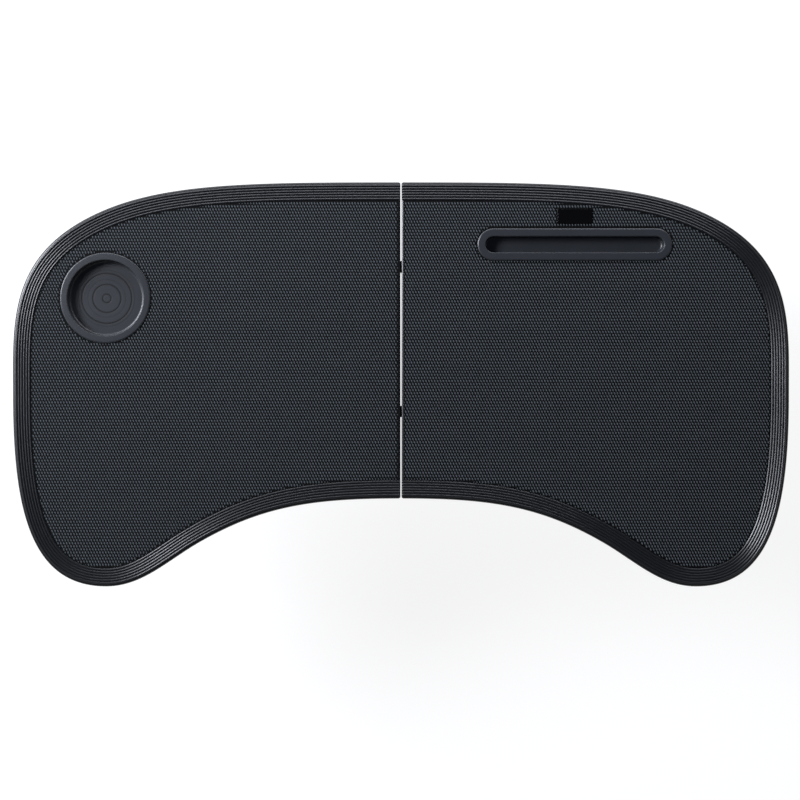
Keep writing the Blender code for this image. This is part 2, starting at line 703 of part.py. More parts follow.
def pin(radius, half_length):
    """A headed pin along Y, fixed by a head at each end."""
    neck = half_length - PIN_HEAD_HEIGHT
    head = radius + PIN_HEAD_OVERLAP
    profile = [(0, -half_length), (head, -half_length), (head, -neck), (radius, -neck)]
    profile += [(radius, neck), (head, neck), (head, half_length), (0, half_length)]
    bm = bmesh.new()
    add_turned(bm, profile, PIN_SIDES, axis="Y")
    return bm


def make_hinges(left_parent, link_parent, right_parent):
    """Both hinges: plates and pins on the two leaves, and the links between them."""
    for where, y in HINGE_PLACES.items():
        for side, parent in ((LEFT, left_parent), (RIGHT, right_parent)):
            name = f"hinge_{where}_{side_name(side)}"
            place = within(parent, (0, y, TOP_Z))
            centre = (-HINGE_PIN_OFFSET, 0, -HINGE_PIN_DROP)
            cutters = [hole(HINGE_PIN_RADIUS + PIVOT_GAP, HINGE_PIN_HALF, centre)]
            cutters.append(screw_holes([(-HINGE_SCREW_NEAR, 0), (-HINGE_SCREW_FAR, 0)]))
            shapes = [mirrored(shape, side) for shape in hinge_plate()]
            cutters = [mirrored(cutter, side) for cutter in cutters]
            joined(f"{name}_plate", shapes, "bracket_plastic", parent, place, cutters)
            pin_place = (side * HINGE_PIN_OFFSET, y, at_drop(HINGE_PIN_DROP))
            bm = pin(HINGE_PIN_RADIUS, HINGE_PIN_HALF)
            make_piece(f"{name}_pin", bm, "pin_steel", parent, within(parent, pin_place))
        bm = bmesh.new()
        shape = stadium(2 * (HINGE_PIN_OFFSET + LINK_RADIUS), 2 * LINK_RADIUS, EYE_SIDES // 2)
        add_prism(bm, shape, -LINK_WIDTH / 2, LINK_WIDTH / 2, axis="Y")
        place = within(link_parent, (0, y, at_drop(HINGE_PIN_DROP)))
        reach = LINK_WIDTH / 2 + CUT_OVERRUN
        radius = HINGE_PIN_RADIUS + PIVOT_GAP
        eyes = [hole(radius, reach, (side * HINGE_PIN_OFFSET, 0, 0)) for side in (LEFT, RIGHT)]
        joined(f"hinge_{where}_link", [bm], "bracket_plastic", link_parent, place, eyes)


def leg_bracket():
    """Shapes of a left leg bracket about its pivot: base, two ears, and the wall that stops the open leg."""
    base, ears, wall = bmesh.new(), bmesh.new(), bmesh.new()
    base_top = LEG_PIVOT_DROP - PLATE_TOP_DROP
    base_low = LEG_PIVOT_DROP - PLATE_BOTTOM_DROP
    half_x, half_y = BRACKET_LENGTH / 2, BRACKET_WIDTH / 2
    add_box(base, (-half_x, -half_y, base_low), (half_x, half_y, base_top))
    root = base_low + BRACKET_PLATE / 2
    ear = arc((0, 0), BRACKET_EAR_RADIUS, 0, -180, EYE_SIDES // 2)
    ear += [(-BRACKET_EAR_ROOT, root), (BRACKET_EAR_ROOT, root)]
    for side in (LEFT, RIGHT):
        outer = side * (LEG_EAR_INNER + BRACKET_EAR)
        add_prism(ears, ear, *sorted((side * LEG_EAR_INNER, outer)), axis="Y")
    slope = math.tan(LEG_SPLAY)
    face = -(EYE_RADIUS / math.cos(LEG_SPLAY) + PIVOT_GAP)
    foot = -BRACKET_EAR_RADIUS
    wall_root = (root + base_top) / 2
    stop = [(face + slope * foot, foot), (face, 0), (face, wall_root)]
    stop += [(face - BRACKET_EAR, wall_root), (face - BRACKET_EAR + slope * foot, foot)]
    reach = LEG_EAR_INNER + BRACKET_EAR / 2
    add_prism(wall, stop, -reach, reach, axis="Y")
    return [base, ears, wall]


def leg_eye():
    """The fitting on a leg tube's end, about the pivot, with the leg hanging straight down."""
    bm = bmesh.new()
    shape = arc((0, 0), EYE_RADIUS, 0, 180, EYE_SIDES // 2)
    shape += [(-EYE_RADIUS, -EYE_REACH), (EYE_RADIUS, -EYE_REACH)]
    add_prism(bm, shape, -EYE_WIDTH / 2, EYE_WIDTH / 2, axis="Y")
    return bm


def tube_socket():
    """A cutter for the blind socket that a leg tube's end sits in."""
    bm = bmesh.new()
    radius = TUBE_RADIUS + SEAT_GAP
    top, foot = -TUBE_SEAT, -EYE_REACH - CUT_OVERRUN
    add_turned(bm, [(0, foot), (radius, foot), (radius, top), (0, top)], PIN_SIDES)
    return bm


def leg_tube_route():
    """The bent tube's centre line in Y and Z: down from the rear eye, along the bottom bar, and up again."""
    top = -TUBE_SEAT - SEAT_GAP
    bend = TUBE_BEND_RADIUS
    rear_y, front_y = leg_places().values()
    rear = arc((rear_y - bend, -LEG_LENGTH + bend), bend, 0, -90, TUBE_BEND_STEPS)
    front = arc((front_y + bend, -LEG_LENGTH + bend), bend, -90, -180, TUBE_BEND_STEPS)
    return [Vector(p) for p in [(rear_y, top), *rear, *front, (front_y, top)]]


def bent_tube(route):
    """A hollow tube along a route in the YZ plane, open at both ends."""
    bm = bmesh.new()
    outer, inner = [], []
    angles = [2 * math.pi * i / TUBE_SIDES for i in range(TUBE_SIDES)]
    for index, spot in enumerate(route):
        before = (spot - route[max(index - 1, 0)]).normalized()
        after = (route[min(index + 1, len(route) - 1)] - spot).normalized()
        way = (before + after).normalized()
        side = Vector((way.y, -way.x))
        for ring, radius in ((outer, TUBE_RADIUS), (inner, TUBE_RADIUS - TUBE_WALL)):
            spots = [(radius * math.cos(a), *(spot + side * radius * math.sin(a))) for a in angles]
            ring.append([bm.verts.new(p) for p in spots])
    for rings in (outer, inner):
        for ring, following in zip(rings, rings[1:]):
            strip(bm, ring, following, closed=True)
    for end in (0, -1):
        strip(bm, outer[end], inner[end], closed=True)
    return bm


def make_leg(side, leg_parent, leaf_parent):
    """One leg frame on its two brackets. The leg's own pieces hang from the parent on the pivot axis."""
    name = side_name(side)
    make_piece(f"{name}_leg_tube", bent_tube(leg_tube_route()), "leg_paint", leg_parent)
    for where, y in leg_places().items():
        bore = hole(LEG_PIN_RADIUS + PIVOT_GAP, EYE_WIDTH, (0, 0, 0))
        cutters = [bore, tube_socket()]
        joined(f"{name}_leg_eye_{where}", [leg_eye()], "bracket_plastic", leg_parent, (0, y, 0), cutters)
        pivot = (side * LEG_PIVOT_X, y, at_drop(LEG_PIVOT_DROP))
        bore = hole(LEG_PIN_RADIUS + PIVOT_GAP, LEG_PIN_HALF, (0, 0, 0))
        holes = bmesh.new()
        for reach in (-BRACKET_SCREW_REACH, BRACKET_SCREW_REACH):
            spot = (reach, 0, LEG_PIVOT_DROP - PLATE_BOTTOM_DROP + SEAT_GAP)
            add_turned(holes, screw_profile(SEAT_GAP), SCREW_SIDES, spot)
        shapes = [mirrored(shape, side) for shape in leg_bracket()]
        seat = within(leaf_parent, pivot)
        joined(f"{name}_leg_bracket_{where}", shapes, "bracket_plastic", leaf_parent, seat, [bore, holes])
        bm = pin(LEG_PIN_RADIUS, LEG_PIN_HALF)
        make_piece(f"{name}_leg_pin_{where}", bm, "pin_steel", leaf_parent, seat)
        make_foot(side, where, y, leg_parent)


def make_foot(side, where, leg_y, leg_parent):
    """A rubber foot on the bottom bar, with its sole level on the floor when the leg is open."""
    name = side_name(side)
    reach = TUBE_BEND_RADIUS + FOOT_INSET + FOOT_LENGTH / 2
    y = leg_y - reach if where == "rear" else leg_y + reach
    bm = bmesh.new()
    bore_radius = TUBE_RADIUS + SEAT_GAP
    half = bore_radius + FOOT_WALL
    sole = -(TUBE_RADIUS + FOOT_SOLE)
    rise = (bore_radius + FOOT_CROWN) / half
    crown = [(u, v * rise) for u, v in arc((0, 0), half, 0, 180, EYE_SIDES // 2)]
    shape = [(-half, sole), (half, sole), *crown]
    add_prism(bm, shape, -FOOT_LENGTH / 2, FOOT_LENGTH / 2, axis="Y")
    turn = side * LEG_SPLAY
    place = (0, y, -LEG_LENGTH)
    foot = make_piece(f"{name}_foot_{where}", bm, "foot_rubber", leg_parent, place, turn)
    bore = hole(bore_radius, FOOT_LENGTH, (0, 0, 0))
    cut(foot, make_piece(f"{name}_foot_bore_{where}", bore, "foot_rubber", leg_parent, place, turn))


def build():
    """Makes the whole table, with an empty on each joint's axis."""
    clear_scene()
    pin_z = at_drop(HINGE_PIN_DROP)
    leg_z = at_drop(LEG_PIVOT_DROP)
    left_leaf = make_axis("left_leaf", (0, 0, 0))
    links = make_axis("left_pin_axis", (-HINGE_PIN_OFFSET, 0, pin_z), left_leaf)
    right_leaf = make_axis("right_pin_axis", (HINGE_PIN_OFFSET, 0, pin_z), links)
    left_leg = make_axis("left_leg_axis", (-LEG_PIVOT_X, 0, leg_z), left_leaf, LEG_SPLAY)
    right_leg = make_axis("right_leg_axis", (LEG_PIVOT_X, 0, leg_z), right_leaf, -LEG_SPLAY)
    for side, leaf in ((LEFT, left_leaf), (RIGHT, right_leaf)):
        make_deck(side, leaf)
        make_mat(side, leaf)
        make_screws(side, leaf)
    make_inserts(left_leaf, right_leaf)
    make_hinges(left_leaf, links, right_leaf)
    make_leg(LEFT, left_leg, left_leaf)
    make_leg(RIGHT, right_leg, right_leaf)


build()
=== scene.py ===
"""Looks of a folding car tray table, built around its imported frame.

The frame holds the table at its real size in metres, standing open on its legs: +X runs along the width, +Y
points away from the person who sits at it, and the origin is on the floor under the middle. Each piece made
here is a fine surface that stands for one node of the frame, rides on that node's body and has a procedural
finish. A drop is a distance below the crests of the border's ridges.
"""

import json
import logging
import math
from collections.abc import Sequence
from dataclasses import dataclass, replace
from enum import Enum

import bmesh
import bpy
import numpy as np
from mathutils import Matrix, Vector


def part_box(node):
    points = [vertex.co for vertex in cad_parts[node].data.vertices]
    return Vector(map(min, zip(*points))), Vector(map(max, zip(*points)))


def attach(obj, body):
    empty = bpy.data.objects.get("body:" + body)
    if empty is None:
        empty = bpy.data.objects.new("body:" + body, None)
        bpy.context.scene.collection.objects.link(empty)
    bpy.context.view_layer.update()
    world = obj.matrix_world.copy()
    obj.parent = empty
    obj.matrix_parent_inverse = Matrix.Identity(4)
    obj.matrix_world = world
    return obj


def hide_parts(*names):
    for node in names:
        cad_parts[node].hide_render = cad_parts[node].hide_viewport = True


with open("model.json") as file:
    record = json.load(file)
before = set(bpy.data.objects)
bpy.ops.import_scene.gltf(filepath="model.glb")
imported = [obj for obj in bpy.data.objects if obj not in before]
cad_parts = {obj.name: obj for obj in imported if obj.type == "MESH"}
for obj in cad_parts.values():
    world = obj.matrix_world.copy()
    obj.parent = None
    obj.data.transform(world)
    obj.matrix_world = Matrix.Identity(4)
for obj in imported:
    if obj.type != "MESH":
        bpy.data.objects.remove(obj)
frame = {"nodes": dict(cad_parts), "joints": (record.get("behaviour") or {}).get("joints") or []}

Pair = tuple[float, float]
Triple = tuple[float, float, float]

LOG = logging.getLogger("tray_table")
MM = 0.001
# Finishes read it to paint shade into hollows.
# The point attribute that holds a shell's relief.
RELIEF = "relief"
# Points nearer than this are one point, and edges sharper than the angle stay hard.
WELD = 0.002 * MM
SHARP_ANGLE = math.radians(38)
# Clearance round what stands in a hole, and how far a cutter reaches beyond what it cuts.
HOLE_GAP = 0.3 * MM
OVERRUN = 2 * MM
# How far a part reaches into the one that it is rooted in.
ROOT = 1.0 * MM
# Rounding of rims that lie inside another part, and of a cutter's.
BURIED_EDGE = 0.1 * MM
CUTTER_EDGE = 0.01 * MM
# How finely curves are drawn: points on a rim, steps in a small edge, in a plan's corner and in a round end
# or bend, and points round a turned shape.
RIM_POINTS = 4
EDGE_STEPS = 4
CORNER_STEPS = 5
END_STEPS = 16
ROUND_POINTS = 32


class Side(Enum):
    """The two halves of the table. The value is the sign of their X."""

    LEFT = -1
    RIGHT = 1

    @property
    def word(self) -> str:
        """The side's word in the names of nodes."""
        return self.name.lower()

    @property
    def leaf(self) -> str:
        """The body of this side's leaf."""
        return f"{self.word}_leaf"

    @property
    def leg(self) -> str:
        """The body of this side's leg frame."""
        return f"{self.word}_leg"


class Place(Enum):
    """Where a hinge or a leg fitting stands: near the table's far edge or near its front edge."""

    REAR = "rear"
    FRONT = "front"


class Axis(Enum):
    """The direction that a prism or a turned shape runs along."""

    Y = "Y"
    Z = "Z"


# Surfaces.


@dataclass
class Shell:
    """Points and faces of a surface.

    Attributes:
        points: An array of points, one row each.
        faces: Arrays of point numbers, one for each size of polygon.
        relief: One number from 0 to 1 for each point, which a finish may read.
    """

    points: np.ndarray
    faces: list[np.ndarray]
    relief: np.ndarray | None = None

    def placed(self, place: Sequence[float], turn: float = 0.0) -> "Shell":
        """Turns the shell about Y and moves it.

        Args:
            place: Where its origin goes.
            turn: Angle in radians.

        Returns:
            The moved shell.
        """
        cosine, sine = math.cos(turn), math.sin(turn)
        matrix = np.array([[cosine, 0, sine], [0, 1, 0], [-sine, 0, cosine]])
        return replace(self, points=self.points @ matrix.T + np.asarray(place, float))

    def mirrored(self) -> "Shell":
        """The shell's mirror image in X, with its faces turned to stay outward."""
        return replace(self, points=self.points * (-1, 1, 1), faces=[f[:, ::-1] for f in self.faces])

    def on(self, side: Side) -> "Shell":
        """The shell as made for the left side, or its mirror image for the right side."""
        return self if side is Side.LEFT else self.mirrored()


def together(shells: Sequence[Shell]) -> Shell:
    """Puts several shells into one, side by side.

    Args:
        shells: The shells.

    Returns:
        One shell that holds them all.
    """
    starts = np.cumsum([0] + [len(s.points) for s in shells])
    faces = [f + start for s, start in zip(shells, starts) for f in s.faces]
    return Shell(np.concatenate([s.points for s in shells]), faces)


def quads(rows: int, columns: int, wrap: bool = False) -> np.ndarray:
    """Faces of a grid of points, stored row by row.

    Args:
        rows: How many rows.
        columns: How many points in a row.
        wrap: Whether each row closes on itself.

    Returns:
        An array of four point numbers for each face.
    """
    row, column = np.meshgrid(np.arange(rows - 1), np.arange(columns - (not wrap)), indexing="ij")
    beside = (column + 1) % columns
    corners = (row * columns + column, row * columns + beside)
    corners += ((row + 1) * columns + beside, (row + 1) * columns + column)
    return np.stack(corners, -1).reshape(-1, 4)


def loft(rings: np.ndarray) -> Shell:
    """A closed surface through closed rings: point (i, j) is point j of ring i, and flat ends close it.

    Args:
        rings: Array of rings, points and coordinates.

    Returns:
        The surface, where an end ring without width is left as a pole.
    """
    count, size, _ = rings.shape
    faces = [quads(count, size, wrap=True)]
    for end in (0, count - 1):
        if np.ptp(rings[end], axis=0).max() > WELD:
            faces.append(np.arange(size)[None] + end * size)
    return Shell(rings.reshape(-1, 3), faces)


def upright(plan: np.ndarray, heights: np.ndarray, axis: Axis = Axis.Z) -> np.ndarray:
    """Sets plan outlines at heights along an axis.

    Args:
        plan: Array of outlines, points and two coordinates.
        heights: The height of each outline.
        axis: Z for outlines in X and Y, or Y for outlines in X and Z.

    Returns:
        Array of outlines, points and three coordinates.
    """
    level = np.broadcast_to(np.asarray(heights)[:, None], plan.shape[:2])
    order = (plan[..., 0], plan[..., 1], level) if axis is Axis.Z else (plan[..., 0], level, plan[..., 1])
    return np.stack(order, -1)


def turned(profile: Sequence[Pair], axis: Axis = Axis.Z, count: int = ROUND_POINTS) -> Shell:
    """A turned surface: a point at (radius, height) goes round to (radius cos t, radius sin t, height).

    Args:
        profile: Radius and height of each ring.
        axis: The direction of the turning axis.
        count: How many points go round.

    Returns:
        The closed surface.
    """
    radius, height = np.asarray(profile, float).T
    angle = np.linspace(0, 2 * math.pi, count, endpoint=False)
    plan = radius[:, None, None] * np.stack((np.cos(angle), np.sin(angle)), -1)
    return loft(upright(plan, height, axis))


def drawn_in(outline: np.ndarray, inset: float) -> np.ndarray:
    """A closed outline moved inwards, each point along the mitre of its two edges' inward normals.

    Args:
        outline: Points of the outline, anticlockwise.
        inset: How far in.

    Returns:
        The moved points.
    """
    after = np.roll(outline, -1, 0) - outline
    after = np.stack((-after[:, 1], after[:, 0]), 1)
    after /= np.linalg.norm(after, axis=1, keepdims=True)
    before = np.roll(after, 1, 0)
    return outline + inset * (before + after) / (1 + (before * after).sum(1, keepdims=True))


def prism(outline: np.ndarray, low: float, high: float, rounding: float, axis: Axis = Axis.Z) -> Shell:
    """An outline carried from low to high, with rounded rims.

    Near an end the outline is drawn in by r (1 - sin t) at a height of r (1 - cos t) from that end, for t
    from 0 to 90 degrees.

    Args:
        outline: Points of the outline, anticlockwise.
        low: Where it starts along the axis.
        high: Where it ends.
        rounding: Radius r of the rims.
        axis: The direction that it runs along.

    Returns:
        The closed surface.
    """
    angle = np.linspace(0, math.pi / 2, RIM_POINTS)
    inset = rounding * (1 - np.sin(angle))
    rise = rounding * (1 - np.cos(angle))
    insets = np.concatenate((inset, inset[::-1]))
    heights = np.concatenate((low + rise, (high - rise)[::-1]))
    return loft(upright(np.stack([drawn_in(outline, i) for i in insets]), heights, axis))


def arc(centre: Sequence[float], radius: float, start: float, stop: float, steps: int) -> np.ndarray:
    """Points on an arc: its centre plus its radius times the cosine and sine of each angle, in degrees."""
    angle = np.radians(np.linspace(start, stop, steps + 1))
    return np.asarray(centre, float) + radius * np.stack((np.cos(angle), np.sin(angle)), 1)


def eased(width: float, drop: float, steps: int) -> np.ndarray:
    """A bevel that rounds over at its foot.

    For t from 90 to 0 degrees a point lies w (1 - cos t) before the foot and d (cos t + 1 - sin t) / 2
    down.

    Args:
        width: The bevel's width w.
        drop: Its drop d.
        steps: How many steps it has.

    Returns:
        Rows of distance before the foot and drop, from the bevel's top to its foot.
    """
    angle = np.linspace(math.pi / 2, 0, steps + 1)
    sink = (np.cos(angle) + 1 - np.sin(angle)) / 2
    return np.stack((width * (1 - np.cos(angle)), drop * sink), 1)


def round_cornered(low: Sequence[float], high: Sequence[float], radius: float) -> np.ndarray:
    """A rectangle with round corners.

    Args:
        low: Its lowest corner.
        high: Its highest corner.
        radius: Radius of the corners.

    Returns:
        Its outline, anticlockwise.
    """
    (x0, y0), (x1, y1) = low, high
    centres = ((x1 - radius, y1 - radius), (x0 + radius, y1 - radius))
    centres += ((x0 + radius, y0 + radius), (x1 - radius, y0 + radius))
    turns = [arc(centre, radius, 90 * i, 90 * i + 90, CORNER_STEPS) for i, centre in enumerate(centres)]
    return np.concatenate(turns)


def stadium(length: float, width: float, steps: int) -> np.ndarray:
    """A round-ended outline about the origin: two half circles joined by straight runs, or one circle.

    Args:
        length: Its overall length.
        width: Its width.
        steps: Steps in each half circle.

    Returns:
        Its outline, anticlockwise.
    """
    reach = (length - width) / 2
    if reach < WELD:
        return arc((0, 0), width / 2, 0, 360, 2 * steps)[:-1]
    right = arc((reach, 0), width / 2, -90, 90, steps)
    return np.concatenate((right, arc((-reach, 0), width / 2, 90, 270, steps)))


def inside(points: np.ndarray, outline: np.ndarray) -> np.ndarray:
    """Which points lie inside an outline: those from which a ray crosses it an odd number of times.

    Args:
        points: Array of points in X and Y.
        outline: Points of the closed outline.

    Returns:
        True or False for each point.
    """
    x, y = points[:, :1], points[:, 1:]
    ahead = np.roll(outline, -1, 0)
    spans = (outline[:, 1] > y) != (ahead[:, 1] > y)
    rise = ahead[:, 1] - outline[:, 1]
    rise = np.where(rise == 0, 1.0, rise)
    crossing = outline[:, 0] + (y - outline[:, 1]) * (ahead[:, 0] - outline[:, 0]) / rise
    return (spans & (x < crossing)).sum(1) % 2 == 1


def distance(points: np.ndarray, outline: np.ndarray) -> np.ndarray:
    """How far each point is from an outline: the least of its distances from the outline's edges.

    Args:
        points: Array of points in X and Y.
        outline: Points of the closed outline.

    Returns:
        One distance for each point.
    """
    edge = np.roll(outline, -1, 0) - outline
    reach = points[:, None] - outline
    share = np.clip((reach * edge).sum(-1) / np.maximum((edge**2).sum(-1), WELD**2), 0, 1)
    return np.linalg.norm(reach - share[..., None] * edge, axis=-1).min(1)


def pair_of_ears(side: np.ndarray, inner: float, thickness: float, rounding: float) -> Shell:
    """Two ears on both sides of the middle: an outline in X and Z carried along Y from its inner face on."""
    spans = ((-inner - thickness, -inner), (inner, inner + thickness))
    return together([prism(side, low, high, rounding, Axis.Y) for low, high in spans])


def closed_mesh(name: str, shell: Shell) -> bpy.types.Mesh:
    """A mesh of the shell with its doubles merged and its faces turned outward.

    Args:
        name: The mesh's name.
        shell: The surface.

    Returns:
        The mesh.
    """
    mesh = bpy.data.meshes.new(name)
    mesh.from_pydata(shell.points.tolist(), [], [face for f in shell.faces for face in f.tolist()])
    if shell.relief is not None:
        mesh.attributes.new(RELIEF, "FLOAT", "POINT").data.foreach_set("value", shell.relief)
    built = bmesh.new()
    built.from_mesh(mesh)
    bmesh.ops.remove_doubles(built, verts=built.verts, dist=WELD)
    bmesh.ops.recalc_face_normals(built, faces=built.faces)
    built.to_mesh(mesh)
    built.free()
    return mesh


def read_shell(mesh: bpy.types.Mesh) -> Shell:
    """The shell that a mesh holds.

    Args:
        mesh: The mesh.

    Returns:
        Its points and faces.
    """
    points = np.empty(len(mesh.vertices) * 3)
    mesh.vertices.foreach_get("co", points)
    corners = np.empty(len(mesh.loops), int)
    mesh.loops.foreach_get("vertex_index", corners)
    starts, totals = np.empty((2, len(mesh.polygons)), int)
    mesh.polygons.foreach_get("loop_start", starts)
    mesh.polygons.foreach_get("loop_total", totals)
    faces = [corners[starts[totals == n][:, None] + np.arange(n)] for n in np.unique(totals)]
    return Shell(points.reshape(-1, 3), faces)


def shown(name: str, data: bpy.types.ID) -> bpy.types.Object:
    """A new object in the scene.

    Args:
        name: Its name.
        data: Its mesh, camera or lamp.

    Returns:
        The object, at the origin.
    """
    thing = bpy.data.objects.new(name, data)
    bpy.context.scene.collection.objects.link(thing)
    return thing


def carved(body: Shell, joins: Sequence[Shell] = (), cuts: Sequence[Shell] = ()) -> Shell:
    """Joins shells to a body and then cuts others out of it, each with an exact Boolean.

    Args:
        body: The surface to start from.
        joins: Shells that become part of it.
        cuts: Shells that are taken out of it.

    Returns:
        The finished surface.
    """
    made = [shown("carving", closed_mesh("carving", s)) for s in (body, *joins, *cuts)]
    for index, tool in enumerate(made[1:]):
        modifier = made[0].modifiers.new("carve", "BOOLEAN")
        modifier.operation = "UNION" if index < len(joins) else "DIFFERENCE"
        modifier.object = tool
    result = made[0].evaluated_get(bpy.context.evaluated_depsgraph_get())
    shell = read_shell(result.data)
    for thing in made:
        bpy.data.meshes.remove(thing.data)
    return shell


# Finishes.


def linear(code: str) -> tuple[float, float, float, float]:
    """An sRGB hex colour in linear light, with an alpha of 1."""
    shares = [int(code[i : i + 2], 16) / 255 for i in (1, 3, 5)]
    return (*(s / 12.92 if s <= 0.04045 else ((s + 0.055) / 1.055) ** 2.4 for s in shares), 1.0)


def plug(node: bpy.types.Node, sockets: dict[str | int, object]) -> None:
    """Sets inputs of a node.

    Args:
        node: The node.
        sockets: A value, or the output to link, for each input.
    """
    for key, value in sockets.items():
        if isinstance(value, bpy.types.NodeSocket):
            node.id_data.links.new(value, node.inputs[key])
        else:
            node.inputs[key].default_value = value


def add_node(
    tree: bpy.types.NodeTree, kind: str, sockets: dict[str | int, object], **settings: object
) -> bpy.types.Node:
    """Adds a node, sets it up and links it.

    Args:
        tree: The node tree.
        kind: The node's type.
        sockets: A value, or the output to link, for each input.
        settings: Values of the node's own properties.

    Returns:
        The node.
    """
    node = tree.nodes.new(kind)
    for name, value in settings.items():
        setattr(node, name, value)
    plug(node, sockets)
    return node


@dataclass(frozen=True)
class Finish:
    """A Principled surface with mottled colour, uneven gloss and a fine grain.

    Attributes:
        name: The material's name.
        slot: The record's material slot; not used.
        colour: Main colour, sRGB.
        mottle: Second colour, sRGB, which drifts into the first over patches.
        patch: Size of those patches.
        roughness: Least and greatest roughness.
        grain: Size of the surface's grain.
        depth: How deep the grain is.
        stretch: Grain's length along X, Y and Z as multiples of its size.
        metallic: 1 for bare metal.
        coat: Weight of a clear gloss coat.
        level: Strength of the reflection of a non-metal, 0.5 as its IOR gives it.
    """

    name: str
    slot: str
    colour: str
    mottle: str
    patch: float
    roughness: Pair
    grain: float
    depth: float
    stretch: Triple = (1, 1, 1)
    metallic: float = 0.0
    coat: float = 0.0
    level: float = 0.5

    def material(self) -> bpy.types.Material:
        """The material, made once and shared by its pieces."""
        found = bpy.data.materials.get(self.name)
        if found:
            return found
        material = bpy.data.materials.new(self.name)
        material.use_nodes = True
        tree = material.node_tree
        place = add_node(tree, "ShaderNodeTexCoord", {}).outputs["Object"]
        patches = {"Vector": place, "Scale": 1 / self.patch, "Detail": 3.0}
        drift = add_node(tree, "ShaderNodeTexNoise", patches).outputs[0]
        colour = self.colouring(tree, drift)
        ends = {"Value": drift, "To Min": self.roughness[0], "To Max": self.roughness[1]}
        rough = add_node(tree, "ShaderNodeMapRange", ends).outputs["Result"]
        scale = [1 / (self.grain * s) for s in self.stretch]
        fitted = add_node(tree, "ShaderNodeMapping", {"Vector": place, "Scale": scale}).outputs[0]
        specks = {"Vector": fitted, "Scale": 1.0, "Detail": 2.0}
        grain = add_node(tree, "ShaderNodeTexNoise", specks).outputs[0]
        bumped = {"Height": grain, "Distance": self.depth, "Strength": 1.0}
        bump = add_node(tree, "ShaderNodeBump", bumped).outputs[0]
        plug(tree.nodes["Principled BSDF"], {
            "Base Color": colour, "Roughness": rough, "Normal": bump, "Metallic": self.metallic,
            "Coat Weight": self.coat, "Specular IOR Level": self.level,
        })
        return material

    def colouring(self, tree: bpy.types.NodeTree, drift: bpy.types.NodeSocket) -> bpy.types.NodeSocket:
        """The finish's two colours, mixed by the noise of its patches."""
        colours = {0: drift, 6: linear(self.colour), 7: linear(self.mottle)}
        return add_node(tree, "ShaderNodeMix", colours, data_type="RGBA").outputs[2]


@dataclass(frozen=True)
class ReliefFinish(Finish):
    """A finish with painted shade: its colour darkens in the hollows of a moulded relief, as shade would.

    Attributes:
        hollow: Colour of the painted shade in the hollows, sRGB.
        bend: Relief, from 0 to 1, at which the painted shade has given way to the main colour.
    """

    hollow: str = "#020203"
    bend: float = 1.0

    def colouring(self, tree: bpy.types.NodeTree, drift: bpy.types.NodeSocket) -> bpy.types.NodeSocket:
        """Mixes painted shade into the mottled colour by the piece's relief, darkest where the relief is 0.

        Args:
            tree: The node tree.
            drift: The patches' noise.

        Returns:
            The colour.
        """
        top = super().colouring(tree, drift)
        relief = add_node(tree, "ShaderNodeAttribute", {}, attribute_name=RELIEF).outputs["Fac"]
        ends = {"Value": relief, "From Max": self.bend}
        share = add_node(tree, "ShaderNodeMapRange", ends).outputs["Result"]
        colours = {0: share, 6: linear(self.hollow), 7: top}
        return add_node(tree, "ShaderNodeMix", colours, data_type="RGBA").outputs[2]


# Moulded ABS from a spark-eroded tool: dark grey and satin, so that the ridges catch soft lines of light,
# with painted shade in the grooves between them.
DECK_ABS = ReliefFinish(
    name="moulded_abs_satin", slot="deck_plastic", colour="#121316", mottle="#15161a", patch=35 * MM,
    roughness=(0.31, 0.35), grain=0.35 * MM, depth=0.001 * MM, bend=0.8,
)
# Embossed thermoplastic rubber: painted shade makes the sheet and the beads' feet nearly black, so that the
# bead tops stand out lighter.
MAT_RUBBER = ReliefFinish(
    name="embossed_rubber", slot="mat_rubber", colour="#454a4e", mottle="#4c5155", patch=30 * MM,
    roughness=(0.66, 0.76), grain=0.3 * MM, depth=0.006 * MM, level=0.12,
)
# The same ABS with a finer, greyer grain, as on the two inserts: reflections are wide and dull, and the cup
# floor's grooves carry painted shade.
TRIM_ABS = ReliefFinish(
    name="moulded_abs_matt", slot="trim_plastic", colour="#25272b", mottle="#292b2f", patch=25 * MM,
    roughness=(0.34, 0.40), grain=0.3 * MM, depth=0.002 * MM,
)
# Polished acrylic plate, bare: black with a clear reflection and faint wiping marks.
BADGE_ACRYLIC = Finish(
    name="polished_acrylic_black", slot="badge_gloss", colour="#050506", mottle="#070708", patch=8 * MM,
    roughness=(0.10, 0.16), grain=0.6 * MM, depth=0.0006 * MM, stretch=(6, 1, 1), level=0.2,
)
# Powder coat baked on steel tube: satin black with the slight orange peel of the melted powder.
POWDER_COAT = Finish(
    name="powder_coated_steel", slot="leg_paint", colour="#1a1b1d", mottle="#1e1f21", patch=20 * MM,
    roughness=(0.30, 0.38), grain=1.2 * MM, depth=0.03 * MM, coat=0.15,
)
# Glass-filled nylon: black and dull, with pale flow patches where the fibres come near the surface.
NYLON = Finish(
    name="glass_filled_nylon", slot="bracket_plastic", colour="#151617", mottle="#1f2022", patch=5 * MM,
    roughness=(0.42, 0.58), grain=0.25 * MM, depth=0.01 * MM,
)
# Turned steel rivet: bright, with lathe lines round its axis, drawn coarser than real so that they show.
TURNED_STEEL = Finish(
    name="turned_steel", slot="pin_steel", colour="#b9babb", mottle="#a3a5a7", patch=3 * MM,
    roughness=(0.24, 0.34), grain=0.2 * MM, depth=0.008 * MM, stretch=(12, 1, 12), metallic=1.0,
)
# Black zinc plating on a pressed screw: dark metal with a faint uneven bloom.
BLACK_ZINC = Finish(
    name="black_zinc_steel", slot="screw_steel", colour="#3a3b3d", mottle="#46474b", patch=1.5 * MM,
    roughness=(0.28, 0.42), grain=0.15 * MM, depth=0.004 * MM, metallic=1.0,
)
